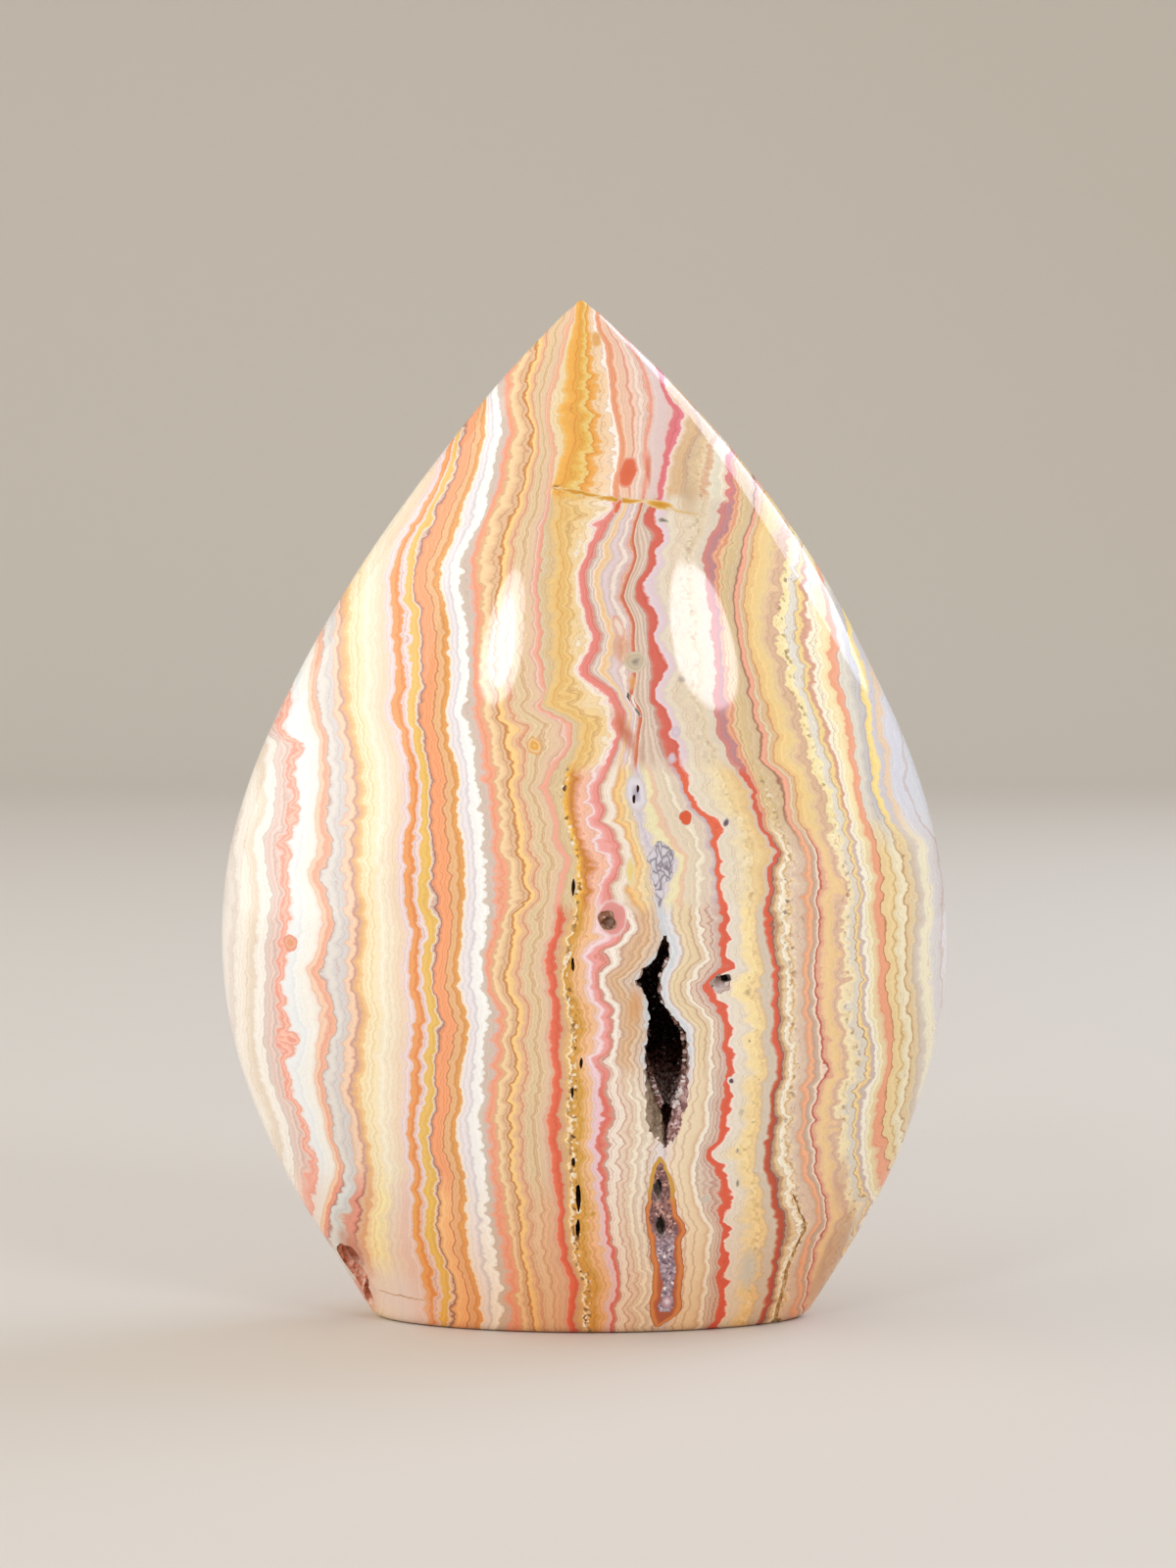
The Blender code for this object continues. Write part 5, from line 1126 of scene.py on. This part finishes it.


# The druse in the vug
# A crust of small smoky quartz crystals that grew on the vug's wall, points to the middle: dark above;
# painted light makes them paler and pinkish at the lower end and along the right rim, where they catch the
# light.
CRUST_INSET = 0.45
CRYSTAL_COUNT = 2200
CRYSTAL_HEIGHTS = (21.6, 35.2)
CRYSTAL_TURNS = (math.radians(14), math.radians(171))
CRYSTAL_LEAN = 0.32
CRYSTAL_RADIUS = (0.09, 0.24)
CRYSTAL_SLENDER = (1.6, 2.8)
CRYSTAL_CORNERS = 13
# painted light: crystals below this height are made paler, as where they catch the light
PALE_BELOW = 27.0  # the height that the crystals pale from, all the way over the next PALE_STRETCH down
PALE_STRETCH = 3.5
RIM_DEPTH = 1.6


def crystal_points(base, way, radius, length, spin):
    """Six-sided crystals in one array: a ring at the foot, a ring where the point begins, and the point.

    Each ring is foot + way * rise + radius * (cos * side + sin * other side).
    """
    helper = np.where(np.abs(way[:, 2:3]) < 0.8, [[0, 0, 1.0]], [[1.0, 0, 0]])
    side = np.cross(way, helper)
    side /= np.linalg.norm(side, axis=1, keepdims=True)
    other = np.cross(way, side)
    turn = spin[:, None] + np.arange(6) * math.pi / 3
    ring = np.cos(turn)[..., None] * side[:, None] + np.sin(turn)[..., None] * other[:, None]
    foot = base[:, None] - 0.3 * radius[:, None, None] * way[:, None] + radius[:, None, None] * ring
    neck = base[:, None] + (way * (0.55 * length)[:, None])[:, None] + 0.94 * radius[:, None, None] * ring
    point = (base + way * length[:, None])[:, None]
    return np.concatenate([foot, neck, point], axis=1)


def crystal_faces(count):
    """The faces of every crystal: the foot, six sides and six facets of the point."""
    j = np.arange(6)
    k = (j + 1) % 6
    start = np.arange(count)[:, None, None] * CRYSTAL_CORNERS
    sides = start + np.stack([j, k, k + 6, j + 6], axis=-1)
    facets = start + np.stack([j + 6, k + 6, np.full(6, 12)], axis=-1)
    feet = start[:, 0] + j[::-1]
    return sides.reshape(-1, 4).tolist() + facets.reshape(-1, 3).tolist() + feet.tolist()


def smoky_quartz():
    """Smoky quartz: clear to brown, with clean glassy faces. Each crystal's shade is partly its own tone and
    partly painted light.
    """
    material, tree, shader = new_material("smoky_quartz_crystals")
    shade = add(tree, "Attribute", out=2, attribute_name="shade")
    shade = add(tree, "ValToRGB", {0: shade}, stops=[
        (0.0, "1C0C0A"), (0.35, "3E211A"), (0.6, "7A5248"), (0.8, "A87F78"), (1.0, "E9DEDC")])
    tree.links.new(shade, shader.inputs["Base Color"])
    shader.inputs["Roughness"].default_value = 0.12
    shader.inputs["IOR"].default_value = 1.544
    return material


def druse():
    """Crystals at chance places on the vug's wall, each leaning a little off the way straight out of it."""
    rng = np.random.default_rng(21)
    z = rng.uniform(*CRYSTAL_HEIGHTS, CRYSTAL_COUNT)
    turn = rng.uniform(*CRYSTAL_TURNS, CRYSTAL_COUNT)
    base = vug_wall(z, turn, CRUST_INSET * 0.6)
    step = 0.01
    across = vug_wall(z, turn + step, CRUST_INSET) - vug_wall(z, turn - step, CRUST_INSET)
    upward = vug_wall(z + step, turn, CRUST_INSET) - vug_wall(z - step, turn, CRUST_INSET)
    way = np.cross(upward, across)
    way /= np.linalg.norm(way, axis=1, keepdims=True)
    way += rng.normal(size=way.shape) * CRYSTAL_LEAN
    way /= np.linalg.norm(way, axis=1, keepdims=True)
    radius = rng.uniform(*CRYSTAL_RADIUS, CRYSTAL_COUNT)
    length = radius * rng.uniform(*CRYSTAL_SLENDER, CRYSTAL_COUNT)
    points = crystal_points(base, way, radius, length, rng.uniform(0, 6.28, CRYSTAL_COUNT))
    # painted light: crystals at the lower end and on the right rim near the face are made paler, where they
    # catch the light; the chance part is each crystal's own tone
    lit_low_end = np.clip((PALE_BELOW - z) / PALE_STRETCH, 0, 1)
    behind = base[:, 1] - face_y(base[:, 0], z)
    lit_right_rim = np.clip(RIM_DEPTH - behind, 0, 1) * (turn > math.pi / 2)
    chance = rng.random(CRYSTAL_COUNT)
    shade = 0.1 + 0.2 * chance + lit_low_end * (0.4 + 0.3 * chance) + lit_right_rim * (0.2 + 0.6 * chance)
    obj = add_mesh("druse_crystals", points, crystal_faces(CRYSTAL_COUNT))
    obj.data.polygons.foreach_set("use_smooth", np.zeros(len(obj.data.polygons), bool))
    attribute = obj.data.attributes.new("shade", "FLOAT", "POINT")
    attribute.data.foreach_set("value", np.repeat(np.clip(shade, 0, 1), CRYSTAL_CORNERS))
    obj.data.materials.append(smoky_quartz())
    return obj


crystals = druse()
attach(crystals, "root")
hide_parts("quartz_druse")


# The studio
# A pale sweep under and behind the stone. An oval lamp stands on each side in front, the left one in a soft
# halo, with a wide fill at each side, and a cool lamp behind on the right. Lengths here are metres.
SWEEP_HALF_WIDTH = 1.6
SWEEP_FRONT = -1.2
SWEEP_BACK = 1.1
SWEEP_RADIUS = 0.5
SWEEP_TOP = 2.2
UPPER_FACE = (0.0, -0.011, 0.064)
BODY = (0.0, 0.0, 0.05)


def sweep():
    """A strip that runs flat from front to back and then turns up through a quarter circle."""
    turn = np.linspace(0, math.pi / 2, 24)
    flat = [(SWEEP_FRONT, 0.0), (0.0, 0.0)]
    bend = [(SWEEP_BACK + SWEEP_RADIUS * math.sin(a), SWEEP_RADIUS * (1 - math.cos(a))) for a in turn]
    profile = np.array(flat + bend + [(SWEEP_BACK + SWEEP_RADIUS, SWEEP_TOP)])
    edges = [np.insert(profile, 0, x, axis=1) for x in (-SWEEP_HALF_WIDTH, SWEEP_HALF_WIDTH)]
    i = np.arange(len(profile) - 1) * 2
    faces = np.stack([i, i + 1, i + 3, i + 2], axis=-1).tolist()
    return add_mesh("floor", np.stack(edges, axis=1) / MM, faces)


def paper():
    """Matt background paper in a warm off-white."""
    material, _, shader = new_material("matt_background_paper")
    shader.inputs["Base Color"].default_value = linear("D9D4CC")
    shader.inputs["Roughness"].default_value = 0.9
    return material


def lamp(name, place, target, width, height, power, colour, roll=0.0):
    """An oval lamp that faces the target, turned by roll degrees about the line to it."""
    data = bpy.data.lights.new(name, "AREA")
    data.shape = "ELLIPSE"
    data.size = width
    data.size_y = height
    data.energy = power
    data.color = linear(colour)[:3]
    obj = bpy.data.objects.new(name, data)
    obj.location = place
    facing = (Vector(target) - Vector(place)).to_track_quat("-Z", "Y")
    obj.rotation_euler = (facing @ Quaternion((0, 0, 1), math.radians(roll))).to_euler()
    bpy.context.scene.collection.objects.link(obj)


floor = sweep()
floor.data.materials.append(paper())
floor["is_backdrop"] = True
lamp("right_lamp", (0.449, -0.632, 0.542), UPPER_FACE, 0.275, 0.212, 1.25, "EEF0FF")
lamp("left_lamp", (-0.328, -0.70, 0.548), UPPER_FACE, 0.10, 0.14, 0.27, "EAF0FF", roll=27)
lamp("left_halo", (-0.345, -0.74, 0.575), UPPER_FACE, 0.17, 0.21, 0.66, "EAF0FF", roll=27)
lamp("left_fill", (-0.92, -0.16, 0.33), BODY, 1.3, 1.2, 5.0, "FFF8F0")
lamp("right_fill", (0.95, -0.25, 0.35), BODY, 1.0, 1.0, 0.7, "FFF6EA")
lamp("cool_lamp_behind", (0.70, 0.42, 0.62), BODY, 0.72, 0.5, 4.0, "D4E2FF")
world = bpy.data.worlds.new("soft_room")
bpy.context.scene.world = world
world.use_nodes = True
world.node_tree.nodes["Background"].inputs["Color"].default_value = linear("F7F0E6")
world.node_tree.nodes["Background"].inputs["Strength"].default_value = 0.70

sizes = {"cad": [list(corner) for corner in CAD_BOX], "looks": [list(corner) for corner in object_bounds()]}
